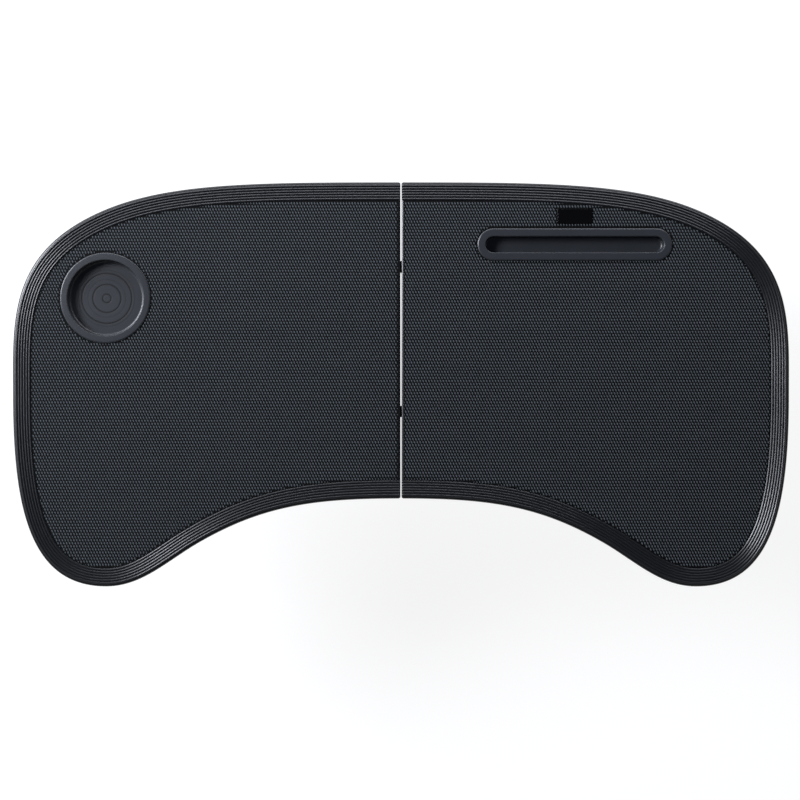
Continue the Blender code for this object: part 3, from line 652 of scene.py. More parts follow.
# Moulded rubber foot: deep black, chalky, with a fine open texture.
FOOT_RUBBER = Finish(
    name="moulded_rubber", slot="foot_rubber", colour="#131313", mottle="#191919", patch=6 * MM,
    roughness=(0.70, 0.85), grain=0.4 * MM, depth=0.02 * MM,
)


def make_piece(name: str, shell: Shell, finish: Finish, body: str, node: str | None) -> None:
    """Makes a finished piece that rides on a body and stands for a node.

    Args:
        name: The piece's name.
        shell: Its surface, in place.
        finish: Its finish.
        body: The body that it moves with.
        node: The node that it replaces, if any.
    """
    mesh = closed_mesh(name, shell)
    mesh.materials.append(finish.material())
    mesh.shade_smooth()
    mesh.set_sharp_from_angle(angle=SHARP_ANGLE)
    piece = shown(name, mesh)
    weighted = piece.modifiers.new("flat faces stay flat", "WEIGHTED_NORMAL")
    weighted.keep_sharp = True
    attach(piece, body)
    if node:
        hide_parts(node)
    LOG.info("%s: %d faces on %s, for %s", name, len(mesh.polygons), body, node or "no node")


def node_box(node: str) -> tuple[np.ndarray, np.ndarray]:
    """A node's lowest and highest corners."""
    low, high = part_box(node)
    return np.array(low), np.array(high)


def middle(node: str) -> np.ndarray:
    """The middle of a node's box."""
    low, high = node_box(node)
    return (low + high) / 2


def pivot(joint: str) -> np.ndarray:
    """A point on a joint's axis, as the frame gives it."""
    return next(np.array(found["pos_m"]) for found in frame["joints"] if found["name"] == joint)


# The table top.


@dataclass(frozen=True)
class KidneyOutline:
    """Half of the top's outline: a smooth curve from the seam's far end round the left end to its near end.

    Attributes:
        depth: The top's depth from far edge to near edge.
        half_width: Half of the top's width, at the anchor of its left end.
        anchors: For each anchor its share of the half width, its share of the depth, its heading in degrees,
            and the reach of its handles before and after it as shares of the half width.
        counts: How many points each stretch between anchors has.
    """

    depth: float
    half_width: float = 311 * MM
    anchors: tuple[tuple[float, ...], ...] = (
        (0.000, 0.500, 180, 0.000, 0.385),
        (0.784, 0.423, 205, 0.188, 0.256),
        (1.000, -0.026, 270, 0.185, 0.292),
        (0.760, -0.500, 360, 0.197, 0.092),
        (0.520, -0.391, 390, 0.097, 0.187),
        (0.000, -0.2824, 360, 0.228, 0.000),
    )
    counts: tuple[int, ...] = (36, 44, 52, 26, 32)

    def sampled(self) -> tuple[np.ndarray, np.ndarray]:
        """The curve's points and its inward directions.

        Between two anchors a point is the cubic blend of the anchors and the ends of their handles, and the
        inward direction is the curve's heading turned left.

        Returns:
            Two arrays of as many rows.
        """
        rows = np.array(self.anchors)
        spot = np.stack((-rows[:, 0] * self.half_width, rows[:, 1] * self.depth), 1)
        way = np.stack((np.cos(np.radians(rows[:, 2])), np.sin(np.radians(rows[:, 2]))), 1)
        leave = spot + way * rows[:, 4:5] * self.half_width
        arrive = spot - way * rows[:, 3:4] * self.half_width
        spots, ways = [], []
        for i, count in enumerate(self.counts):
            share = np.linspace(0, 1, count, endpoint=False)[:, None]
            ends = (spot[i], leave[i], arrive[i + 1], spot[i + 1])
            blend = ((1 - share) ** 3, 3 * (1 - share) ** 2 * share, 3 * (1 - share) * share**2, share**3)
            slope = ((1 - share) ** 2, 2 * (1 - share) * share, share**2)
            spots.append(sum(w * p for w, p in zip(blend, ends)))
            ways.append(sum(w * (b - a) for w, a, b in zip(slope, ends, ends[1:])))
        spots, ways = np.concatenate((*spots, spot[-1:])), np.concatenate((*ways, way[-1:]))
        ways /= np.linalg.norm(ways, axis=1, keepdims=True)
        return spots, np.stack((-ways[:, 1], ways[:, 0]), 1)


@dataclass(frozen=True)
class Leaf:
    """Sizes that the deck and the mat of one leaf share.

    Attributes:
        outline: The leaf's outline.
        top: Height of the ridges' crests.
        seam_half: Half of the gap between the leaves, at the top.
        lip: Width of the deck's lip along the seam.
        ridges: How many ridges the border has.
        pitch: Distance between ridges.
        rim: Radius of the outer edge's rounding.
    """

    outline: KidneyOutline
    top: float
    seam_half: float = 0.34 * MM
    lip: float = 1.6 * MM
    ridges: int = 6
    pitch: float = 2.12 * MM
    rim: float = 1.9 * MM

    @property
    def border(self) -> float:
        """Width of the ridged border."""
        return self.rim + self.ridges * self.pitch

    def inner(self, inset: float, seam: float) -> np.ndarray:
        """The left leaf's outline drawn in, closed along a line beside the seam.

        Args:
            inset: How far in from the outer edge.
            seam: Distance of the closing line from the seam's middle.

        Returns:
            Points of the outline, anticlockwise.
        """
        spots, inward = self.outline.sampled()
        plan = spots + inward * inset
        ends = np.array([(-seam, plan[0, 1]), (-seam, plan[-1, 1])])
        return np.concatenate((ends[:1], plan[plan[:, 0] < -seam - WELD], ends[1:]))


@dataclass(frozen=True)
class Deck:
    """The moulding of one leaf: ridged border, recess for the mat, skirt, and a hollow ribbed underside.

    Attributes:
        leaf: Sizes that the deck shares with the mat.
        depth: Height of the whole moulding.
        ridge_height: Height of the ridges.
        ridge_form: Power by which a ridge falls off from its crest: 1 for flat flanks, 2 for a round crest.
        ridge_steps: Steps across each ridge.
        ground: Relief of the hollows between the ridges, where a crest has 1, which sets how dark the
            painted shade in them is.
        lip_drop: Drop of the lip along the seam.
        recess_drop: Drop of the recess that the mat lies in.
        ceiling_drop: Drop of the underside's ceiling.
        wall: Thickness of the skirt.
        draft: How far the skirt leans in towards its foot.
        toe: Height of the rounding at the skirt's foot.
        seam_slope: How much the seam's face leans back for each unit of drop.
        roll: Width of the eased edge along the seam.
        roll_drop: Its drop.
        fillet: Radius between skirt and ceiling.
        rim_steps: Steps in the outer edge's rounding.
        rib: Thickness of the ribs.
        rib_round: Radius of a rib's lower edge, as a share of half its thickness.
        rib_drop: Drop of the lower edge of the ribs from front to back.
        rib_step: How much less deep the others are, at both edges, so that no two faces lie in one plane.
        cross_shares: Places of the ribs from front to back, as shares of half the width.
        long_shares: Places of the ribs from side to side, as shares of the depth.
        pad_drop: Drop of the pads that brackets and hinge plates are screwed to.
        pad_margin: How far a pad reaches past them and into the ceiling, and the radius of its rims.
        pad_corner: Radius of its corners.
        clear: Distance from the seam's middle where pads end and the openings for the hinges begin.
        slot_drop: Drop of the top of those openings, which are cut in the seam's wall.
        slot_reach: Half of their width.
        slot_rounding: Radius of their corners and of their rims.
    """

    leaf: Leaf
    depth: float = 24 * MM
    ridge_height: float = 0.6 * MM
    ridge_form: float = 1.5
    ridge_steps: int = 12
    ground: float = 0.2
    lip_drop: float = 0.2 * MM
    recess_drop: float = 1.6 * MM
    ceiling_drop: float = 4.0 * MM
    wall: float = 2.6 * MM
    draft: float = 1.0 * MM
    toe: float = 1.6 * MM
    seam_slope: float = 0.085
    roll: float = 1.4 * MM
    roll_drop: float = 0.85 * MM
    fillet: float = 1.2 * MM
    rim_steps: int = 8
    rib: float = 1.8 * MM
    rib_round: float = 0.8
    rib_drop: float = 9.0 * MM
    rib_step: float = 0.3 * MM
    cross_shares: tuple[float, ...] = (0.22, 0.39, 0.56)
    long_shares: tuple[float, ...] = (0.04, 0.22)
    pad_drop: float = 7.0 * MM
    pad_margin: float = 0.4 * MM
    pad_corner: float = 1.5 * MM
    clear: float = 9.0 * MM
    slot_drop: float = 11.0 * MM
    slot_reach: float = 8.8 * MM
    slot_rounding: Pair = (1.0 * MM, 0.6 * MM)

    def section(self) -> tuple[np.ndarray, np.ndarray, int]:
        """The deck's section from the recess's rim over the ridges, down the skirt and up inside it.

        Over a ridge the drop is h s^k, where s goes from 0 at its crest to 1 in the hollow beside it, h is
        the ridges' height and k their form. The rim, toe and fillet are arcs.

        Returns:
            Rows of inset and drop, rows of the inset and drop that point into the material, and the number
            of the last row on the outside.
        """
        leaf = self.leaf
        count = np.linspace(0, leaf.ridges, leaf.ridges * self.ridge_steps + 1)
        drop = self.ridge_height * np.abs(2 * (count % 1) - 1) ** self.ridge_form
        top = np.stack((leaf.border - count * leaf.pitch, drop), 1)
        centre = (leaf.rim, leaf.rim + self.ridge_height)
        rim = arc(centre, leaf.rim, 270, 180, self.rim_steps)[1:]
        angle = np.linspace(0, math.pi / 2, EDGE_STEPS + 1)
        toe_inset = self.draft + self.toe / 2 * (1 - np.cos(angle))
        toe = np.stack((toe_inset, self.depth - self.toe * (1 - np.sin(angle))), 1)
        foot = self.draft + self.toe / 2 + self.wall
        corner = (foot + self.fillet, self.ceiling_drop + self.fillet)
        inner = arc(corner, self.fillet, 180, 270, EDGE_STEPS)
        mouth = np.array([(foot - self.roll, self.depth), (foot, self.depth - self.roll)])
        leans = np.concatenate((
            np.tile((0.0, 1.0), (len(top), 1)),
            -(rim - centre) / leaf.rim,
            np.stack((np.cos(angle), -np.sin(angle)), 1),
            np.zeros((len(mouth) + len(inner), 2)),
        ))
        return np.concatenate((top, rim, toe, mouth, inner)), leans, len(top) + len(rim) + len(toe) - 1

    def body(self) -> Shell:
        """The left leaf's moulding without ribs and openings.

        The section is carried along the outline. At each end of it the last rings ease over the edge to the
        seam's face, and sink into the material as they do. Strips and flat faces between the two ends close
        the seam's side.

        Returns:
            The closed surface.
        """
        section, leans, toe = self.section()
        spots, inward = self.leaf.outline.sampled()
        ends = EDGE_STEPS + 1
        spots, inward = (
            np.concatenate((np.repeat(line[:1], ends, 0), line, np.repeat(line[-1:], ends, 0)))
            for line in (spots, inward)
        )
        plan = spots[:, None] + inward[:, None] * section[None, :, :1]
        level = np.repeat(section[None, :, 1], len(spots), 0)
        before, sink = eased(self.roll, self.roll_drop, EDGE_STEPS)[::-1].T[..., None]
        seam_wall = self.leaf.seam_half + self.seam_slope * self.depth + self.wall
        for rows in (np.arange(ends), len(spots) - 1 - np.arange(ends)):
            level[rows] += sink * leans[:, 1]
            plan[rows, :, 1] += inward[rows, 1:] * sink * leans[:, 0]
            face = self.leaf.seam_half + self.seam_slope * level[rows]
            plan[rows, :, 0] = -(face + before)
            lip = rows[-1] + (1 if rows[0] == 0 else -1)
            behind = face[-1] + self.roll + HOLE_GAP
            level[[*rows, lip], 0] -= self.ridge_height - self.lip_drop
            plan[lip, :, 0] = -np.maximum(self.leaf.seam_half + self.leaf.lip, behind)
        plan[:, toe + 1 :, 0] = np.minimum(plan[:, toe + 1 :, 0], -seam_wall)
        points = np.concatenate((plan, -level[..., None]), -1)
        rows, columns = points.shape[:2]
        number = np.arange(rows * columns).reshape(rows, columns)
        near = number[::-1]
        lip_rows = np.arange(ends + 1)
        rim = number[ends : rows - ends, 0]
        floor = points[ends : rows - ends, 0] * (1, 1, 0) - (0, 0, self.recess_drop)
        below = rows * columns + np.arange(len(rim))
        sides = [
            quads(rows, columns),
            self.between(number[lip_rows, 0], near[lip_rows, 0]),
            self.between(number[0, toe:], near[0, toe:]),
            np.concatenate((number[0, : toe + 1], near[0, toe::-1]))[None],
            number[:, -1][None],
            self.between(np.append(rim, rim[0]), np.append(below, below[0])),
            below[None],
        ]
        return Shell(np.concatenate((points.reshape(-1, 3), floor)), sides)

    @staticmethod
    def between(first: np.ndarray, second: np.ndarray) -> np.ndarray:
        """Faces between two rows of point numbers."""
        return np.stack((first[:-1], first[1:], second[1:], second[:-1]), 1)

    def span(self, along: int, value: float) -> Pair:
        """Where a straight rib ends, inside the skirt: the crossings of a line with the skirt's middle.

        Args:
            along: 0 for a rib along X, 1 for one along Y.
            value: The rib's place across that.

        Returns:
            The two ends.
        """
        inset = self.draft + self.toe / 2 + self.wall / 2
        ring = self.leaf.inner(inset, self.leaf.seam_half + self.seam_slope * self.depth + self.wall / 2)
        ahead = np.roll(ring, -1, 0)
        fixed = 1 - along
        crossed = (ring[:, fixed] - value) * (ahead[:, fixed] - value) < 0
        start, stop = ring[crossed], ahead[crossed]
        share = (value - start[:, fixed]) / (stop[:, fixed] - start[:, fixed])
        hits = start[:, along] + share * (stop[:, along] - start[:, along])
        return float(hits.min()), float(hits.max())

    def rib_at(self, along: int, value: float, step: float) -> Shell:
        """A straight rib: a thin prism with a round lower edge, rooted in ceiling and skirt.

        Args:
            along: 0 for a rib along X, 1 for one along Y.
            value: The rib's place across that.
            step: How much less deep it is at both edges.

        Returns:
            The closed surface.
        """
        half = self.rib / 2
        low, high = (value - half, step - self.rib_drop), (value + half, ROOT - self.ceiling_drop - step)
        plan = round_cornered(low, high, half * self.rib_round)
        rib = prism(plan, *self.span(along, value), BURIED_EDGE, Axis.Y)
        return rib if along else replace(rib, points=rib.points[:, [1, 0, 2]])

    def ribs(self) -> list[Shell]:
        """Ribs under the left leaf: those from front to back, and those from side to side."""
        outline = self.leaf.outline
        cross = [self.rib_at(1, -share * outline.half_width, 0) for share in self.cross_shares]
        long = [self.rib_at(0, share * outline.depth, self.rib_step) for share in self.long_shares]
        return [together(cross), together(long)]

    def pads(self) -> Shell:
        """Pads under the left leaf, over the brackets and hinge plates that are screwed to them."""
        names = ("left_leg_bracket_{}", "hinge_{}_left_plate")
        margin = self.pad_margin
        shells = []
        for node in [name.format(place.value) for name in names for place in Place]:
            low, high = (corner[:2] for corner in node_box(node))
            if "hinge" in node:
                high[0] = -self.clear
            plan = round_cornered(low - margin, high + margin, self.pad_corner)
            shells.append(prism(plan, -self.pad_drop, margin - self.ceiling_drop, margin))
        return together(shells)

    def slots(self) -> Shell:
        """Cutters for the openings in the seam's wall that the hinge links pass through."""
        corner, edge = self.slot_rounding
        shells = []
        for place in Place:
            y = middle(f"hinge_{place.value}_link")[1]
            plan = round_cornered((-self.clear, y - self.slot_reach), (OVERRUN, y + self.slot_reach), corner)
            shells.append(prism(plan, -self.depth - OVERRUN, -self.slot_drop, edge))
        return together(shells)

    def build(self, wells: dict[Side, np.ndarray]) -> None:
        """Makes both decks, each with its opening for the insert.

        The relief, which paints shade into the hollows between the ridges, falls from crest to hollow over
        the ridges' height, and is 1 again from twice that down.

        Args:
            wells: The opening's outline in each leaf.
        """
        left = carved(self.body(), [*self.ribs(), self.pads()], [self.slots()])
        for side in Side:
            well = prism(wells[side], -self.depth, 2 * OVERRUN, CUTTER_EDGE)
            shell = carved(left.on(side), cuts=[well])
            # Painted shade: this relief darkens the moulding from the ridges' hollows down to twice their
            # height.
            fall = -shell.points[:, 2] / self.ridge_height
            relief = np.where(fall < 2, np.clip(1 + self.ground - fall, 0, 1), 1)
            shell = replace(shell, relief=relief).placed((0, 0, self.leaf.top))
            make_piece(f"{side.word}_deck_moulding", shell, DECK_ABS, side.leaf, f"{side.word}_deck")


@dataclass(frozen=True)
class Mat:
    """The textured mat of one leaf: a thin sheet with rows of small oval beads.

    Attributes:
        leaf: Sizes that the mat shares with the deck.
        gap: Clearance round the sheet.
        edge: Radius of the sheet's edges.
        bottom_drop: Drop of the sheet's underside.
        sheet_drop: Drop of the sheet's face between the beads.
        crest_drop: Drop of the beads' crests.
        least: Size of the smallest bead at an edge, as a share of a whole one.
        pitch: Distance between beads in a row, and between rows.
        start: Distance of the first bead from the edge beside the seam, as a share of the pitch.
        bead: Half of a bead's length and of its width.
        lean: Angle of a bead's length from +X, in radians.
        rings: Share of its size and of its height, for each ring of a bead.
        sides: How many points go round a bead.
        strips: The pieces that the beads of one leaf are shared out to.
    """

    leaf: Leaf
    gap: float = 0.3 * MM
    edge: float = 0.15 * MM
    bottom_drop: float = 1.3 * MM
    sheet_drop: float = 0.35 * MM
    crest_drop: float = -0.25 * MM
    least: float = 0.4
    pitch: Pair = (2.32 * MM, 2.45 * MM)
    start: float = 0.25
    bead: Pair = (1.6 * MM, 0.86 * MM)
    lean: float = math.radians(-63)
    rings: tuple[Pair, ...] = ((1.0, -0.12), (0.66, 0.62), (0.26, 0.97))
    sides: int = 8
    strips: tuple[str, ...] = ("far", "middle", "near")

    def outline(self) -> np.ndarray:
        """The left-hand sheet's outline."""
        leaf = self.leaf
        return leaf.inner(leaf.border + self.gap, leaf.seam_half + leaf.lip + self.gap)

    def sheet(self, holes: Sequence[np.ndarray]) -> Shell:
        """The left-hand sheet, with holes of the given outlines for what stands in it."""
        cuts = [prism(hole, -self.bottom_drop - OVERRUN, OVERRUN, CUTTER_EDGE) for hole in holes]
        return carved(prism(self.outline(), -self.bottom_drop, -self.sheet_drop, self.edge), cuts=cuts)

    def spots(self, holes: Sequence[np.ndarray]) -> np.ndarray:
        """Beads of the left-hand sheet: a grid whose every other row is moved by half a pitch.

        Args:
            holes: Outlines that beads keep clear of.

        Returns:
            Rows of X, Y and size, where a bead near an edge is as small as it has to be.
        """
        edge = self.outline()
        low, high = edge.min(0), edge.max(0)
        rows = np.arange(math.ceil((high[1] - low[1]) / self.pitch[1]))
        columns = np.arange(math.ceil((high[0] - low[0]) / self.pitch[0]) + 1)
        column, row = np.meshgrid(columns, rows)
        x = high[0] - (column + self.start + row % 2 / 2) * self.pitch[0]
        grid = np.stack((x, high[1] - row * self.pitch[1]), -1).reshape(-1, 2)
        kept = inside(grid, edge)
        for hole in holes:
            kept &= ~inside(grid, hole)
        grid = grid[kept]
        room = np.min([distance(grid, line) for line in (edge, *holes)], axis=0)
        size = np.minimum((room + self.gap) / self.bead[0], 1)
        return np.column_stack((grid, size))[size > self.least]

    def beads(self, spots: np.ndarray, side: Side) -> Shell:
        """A bead on each spot: rings of an oval that shrink as they rise, closed below and above.

        Args:
            spots: X, Y and size of each bead.
            side: The leaf, because beads lean the same way on both.

        Returns:
            All beads as one surface, with their height as relief, by which painted shade darkens their feet.
        """
        angle = np.linspace(0, 2 * math.pi, self.sides, endpoint=False)
        oval = np.stack((self.bead[0] * np.cos(angle), self.bead[1] * np.sin(angle)), 1)
        cosine, sine = math.cos(self.lean), -side.value * math.sin(self.lean)
        oval = oval @ np.array([[cosine, sine], [-sine, cosine]])
        size, share = np.array(self.rings).T
        height = -self.sheet_drop + share * (self.sheet_drop - self.crest_drop)
        one = upright(size[:, None, None] * oval, height).reshape(-1, 3)
        grown = one * np.stack((spots[:, 2], spots[:, 2], np.ones(len(spots))), 1)[:, None]
        points = (grown + np.pad(spots[:, :2], ((0, 0), (0, 1)))[:, None]).reshape(-1, 3)
        count = len(self.rings)
        caps = (np.arange(self.sides)[::-1], np.arange(self.sides) + (count - 1) * self.sides)
        around = quads(count, self.sides, wrap=True)
        steps = (np.arange(len(spots)) * len(one))[:, None, None]
        faces = [(f[None] + steps).reshape(-1, f.shape[-1]) for f in (around, np.stack(caps))]
        return Shell(points, faces, np.tile(np.repeat(np.clip(share, 0, 1), self.sides), len(spots)))

    def build(self, holes: dict[Side, list[np.ndarray]]) -> None:
        """Makes both mats.

        Args:
            holes: Outlines of each sheet's holes, in the left-hand layout.
        """
        for side in Side:
            seat = (0, 0, self.leaf.top)
            sheet = self.sheet(holes[side]).on(side).placed(seat)
            # Painted shade: the whole sheet between the beads takes the finish's nearly black shade colour.
            sheet = replace(sheet, relief=np.zeros(len(sheet.points)))
            make_piece(f"{side.word}_mat_sheet", sheet, MAT_RUBBER, side.leaf, f"{side.word}_mat")
            spots = self.spots(holes[side])
            for strip, some in zip(self.strips, np.array_split(spots, len(self.strips))):
                beads = self.beads(some, side).on(side).placed(seat)
                make_piece(f"{side.word}_mat_beads_{strip}", beads, MAT_RUBBER, side.leaf, None)


class Insert(Enum):
    """The two inserts that stand in the leaves, by the name of their node."""

    CUP = "cup_recess"
    SLOT = "device_slot"


@dataclass(frozen=True)
class Recess:
    """A flanged insert with a sunk floor: round for a cup, long for a phone or tablet.

    Attributes:
        insert: Which insert it is.
        length: Length of its mouth.
        width: Width of its mouth.
        flange: Width of the flange round the mouth.
        grooves: Radius, depth and half width of each ring pressed into the floor.
        dip: Depth at which a groove's painted shade is as dark as the finish's hollows.
        depth: Depth from the flange's top to the floor.
        rise: Height of the flange above the ridges' crests.
        seat_drop: Drop of the flange's underside.
        wall: Thickness of the well.
        bevel: Width and drop of the eased edge round the flange.
        edge: Radius of the mouth's edge.
        fillet: Radius between wall and floor.
        steps: Steps in each half circle of the outline.
        bend_steps: Steps in the fillet and in the flange's eased edge.
        floor_points: Points from the middle of a grooved floor to its edge.
    """

    insert: Insert
    length: float
    width: float
    flange: float
    grooves: tuple[Triple, ...] = ()
    dip: float = 0.06 * MM
    depth: float = 8.2 * MM
    rise: float = 0.8 * MM
    seat_drop: float = 1.3 * MM
    wall: float = 2.0 * MM
    bevel: Pair = (1.1 * MM, 0.65 * MM)
    edge: float = 0.75 * MM
    fillet: float = 2.2 * MM
    steps: int = 64
    bend_steps: int = 6
    floor_points: int = 120

    @classmethod
    def fitted(cls, insert: Insert, flange: float, grooves: tuple[Triple, ...] = ()) -> "Recess":
        """An insert as large as its node, whose mouth is the node's box less the flange.

        Args:
            insert: Which insert it is.
            flange: Width of the flange.
            grooves: Rings in its floor, as in the class.

        Returns:
            The insert.
        """
        low, high = node_box(insert.value)
        length, width = (high - low)[:2] - 2 * flange
        return cls(insert, length, width, flange, grooves)

    def outline(self, offset: float) -> np.ndarray:
        """The mouth's outline moved outwards by an offset."""
        return stadium(self.length + 2 * offset, self.width + 2 * offset, self.steps)

    def opening(self, offset: float, across: int = 1) -> np.ndarray:
        """That outline at its node's place, or with -1 at the place's mirror image in X."""
        return self.outline(offset) + middle(self.insert.value)[:2] * (across, 1)

    def section(self) -> np.ndarray:
        """Offset from the mouth and height of the insert's surface, from the floor's edge over the flange.

        Returns:
            Rows of offset and height, which end at the underside's middle.
        """
        floor = self.rise - self.depth
        low = floor - self.wall
        return np.concatenate((
            arc((-self.fillet, floor + self.fillet), self.fillet, -90, 0, self.bend_steps),
            arc((self.edge, self.rise - self.edge), self.edge, 180, 90, CORNER_STEPS),
            (self.flange, self.rise) - eased(*self.bevel, self.bend_steps),
            [(self.flange, -self.seat_drop), (self.wall, -self.seat_drop)],
            arc((self.wall - self.edge, low + self.edge), self.edge, 0, -90, EDGE_STEPS),
        ))

    def floor(self) -> np.ndarray:
        """Offset and height of the floor from its middle outwards: flat, less a bell for each groove.

        Returns:
            Rows of offset and height.
        """
        radius = np.linspace(0, self.width / 2 - self.fillet, self.floor_points)[:-1]
        height = np.full_like(radius, self.rise - self.depth)
        for at, depth, half in self.grooves:
            height -= depth * np.exp(-(((radius - at) / half) ** 2))
        return np.stack((radius - self.width / 2, height), 1)

    def build(self, side: Side, top: float) -> None:
        """Makes the insert where its node is, with a relief that falls in the floor's grooves alone, so that
        painted shade darkens them.

        Args:
            side: The leaf that it stands in.
            top: Height of the ridges' crests.
        """
        rows = np.concatenate((self.floor(), self.section())) if self.grooves else self.section()
        rings = upright(np.stack([self.outline(offset) for offset, _ in rows]), rows[:, 1])
        shell = loft(rings)
        # Painted shade: the floor's grooves darken by this relief.
        sunk = self.rise - self.depth - shell.points[:, 2]
        relief = np.where(sunk < self.wall / 2, np.clip(1 - sunk / self.dip, 0, 1), 1)
        shell = replace(shell, relief=relief).placed((*middle(self.insert.value)[:2], top))
        make_piece(f"{self.insert.value}_liner", shell, TRIM_ABS, side.leaf, self.insert.value)


# Widths of the inserts' flanges, and radius, depth and half width of each ring in the cup's floor.
CUP_FLANGE = 5.9 * MM
SLOT_FLANGE = 6.4 * MM
CUP_RINGS = (
    (3.4 * MM, 0.06 * MM, 0.6 * MM),
    (11.3 * MM, 0.06 * MM, 0.65 * MM),
    (15.2 * MM, 0.02 * MM, 0.5 * MM),
    (20.1 * MM, 0.06 * MM, 0.65 * MM),
    (22.6 * MM, 0.02 * MM, 0.5 * MM),
)


@dataclass(frozen=True)
class Badge:
    """The small bare plate above the device slot.

    Attributes:
        node: The node that it stands for.
        corner: Radius of its corners.
        edge: Radius of its edges.
        hole_corner: Radius of the corners of its opening in the mat.
    """

    node: str = "blank_badge"
    corner: float = 0.8 * MM
    edge: float = 0.2 * MM
    hole_corner: float = 1.0 * MM

    def opening(self) -> np.ndarray:
        """The plate's opening in the mat, in the left-hand layout."""
        low, high = (corner[:2] for corner in node_box(self.node))
        return (round_cornered(low - HOLE_GAP, high + HOLE_GAP, self.hole_corner) * (-1, 1))[::-1]

    def build(self) -> None:
        """Makes the plate in its node's box."""
        low, high = node_box(self.node)
        shell = prism(round_cornered(low[:2], high[:2], self.corner), low[2], high[2], self.edge)
        make_piece("badge_plate", shell, BADGE_ACRYLIC, Side.RIGHT.leaf, self.node)


# Fasteners.


@dataclass(frozen=True)
class Rivet:
    """A headed steel pin along Y.

    Attributes:
        radius: Radius of its shank.
        head: Radius of its heads.
        head_height: Height of each head.
        dome: How far a head's edge is rounded.
    """

    radius: float
    head: float
    head_height: float = 0.8 * MM
    dome: float = 0.45 * MM

    def build(self, node: str, body: str) -> None:
        """Makes the pin where its node is.

        Args:
            node: The node that it stands for.
            body: The body that it rides on.
        """
        low, high = node_box(node)
        half = (high[1] - low[1]) / 2
        neck = half - self.head_height
        rounded = arc((self.head - self.dome, half - self.dome), self.dome, 90, 0, EDGE_STEPS)
        upper = np.concatenate(([(0, half)], rounded, [(self.head, neck), (self.radius, neck)]))
        profile = np.concatenate((upper, (upper * (1, -1))[::-1]))
        shell = turned(profile, Axis.Y).placed(middle(node))
        make_piece(f"{node}_rivet", shell, TURNED_STEEL, body, node)


@dataclass(frozen=True)
class Screw:
    """A countersunk screw, head down, with a cross recess.

    Attributes:
        head: Radius of its head.
        head_height: Height of the head's cone.
        chamfer: Width and height of the chamfer round the head's face.
        shank: Radius of its shank.
        length: Its whole length.
        recess: Half length, half width and depth of the cross recess.
        mouth: How far the recess's cutter stands out of the head.
        taper: The cutter's size at its mouth and at its end, as shares of the recess's.
        points: How many points go round.
    """

    head: float = 2.9 * MM
    head_height: float = 1.6 * MM
    chamfer: float = 0.15 * MM
    shank: float = 1.5 * MM
    length: float = 5.5 * MM
    recess: Triple = (1.6 * MM, 0.42 * MM, 1.1 * MM)
    mouth: float = 0.5 * MM
    taper: Pair = (1.05, 0.45)
    points: int = 28

    def profile(self, gap: float = 0.0) -> np.ndarray:
        """Radius and height of the screw's outside, or of its hole with a gap round it.

        Args:
            gap: Clearance of the hole, or 0 for the screw.

        Returns:
            Rows of radius and height, head down.
        """
        head, shank, end = self.head + gap, self.shank + gap, self.length + gap
        start, chamfer = (-OVERRUN, 0.0) if gap else (0.0, self.chamfer)
        cone = [(head - chamfer, start), (head, chamfer), (shank, self.head_height), (shank, end)]
        return np.array([(0, start), *cone, (0, end)])

    def shell(self) -> Shell:
        """The screw with its recess cut: two crossed wedges that narrow upwards."""
        long, wide, deep = self.recess
        heights = np.array([-self.mouth, deep])
        blades = []
        for half_x, half_y in ((long, wide), (wide, long)):
            plan = np.array([(half_x, half_y), (-half_x, half_y), (-half_x, -half_y), (half_x, -half_y)])
            blades.append(loft(upright(np.stack([plan * share for share in self.taper]), heights)))
        return carved(turned(self.profile(), count=self.points), cuts=blades)

    def holes(self, spots: Sequence[Sequence[float]]) -> Shell:
        """Cutters for the screw's holes, one for each spot where a head's face lies."""
        hole = turned(self.profile(HOLE_GAP), count=self.points).placed((0, 0, HOLE_GAP))
        return together([hole.placed(spot) for spot in spots])

    def build(self) -> None:
        """Makes every screw of the table where its node is."""
        shell = self.shell()
        for side in Side:
            for node in (n for n in frame["nodes"] if "_screw_" in n and n.endswith(side.word)):
                place = (*middle(node)[:2], node_box(node)[0][2])
                make_piece(f"{node}_bolt", shell.placed(place), BLACK_ZINC, side.leaf, node)


# Hinges.


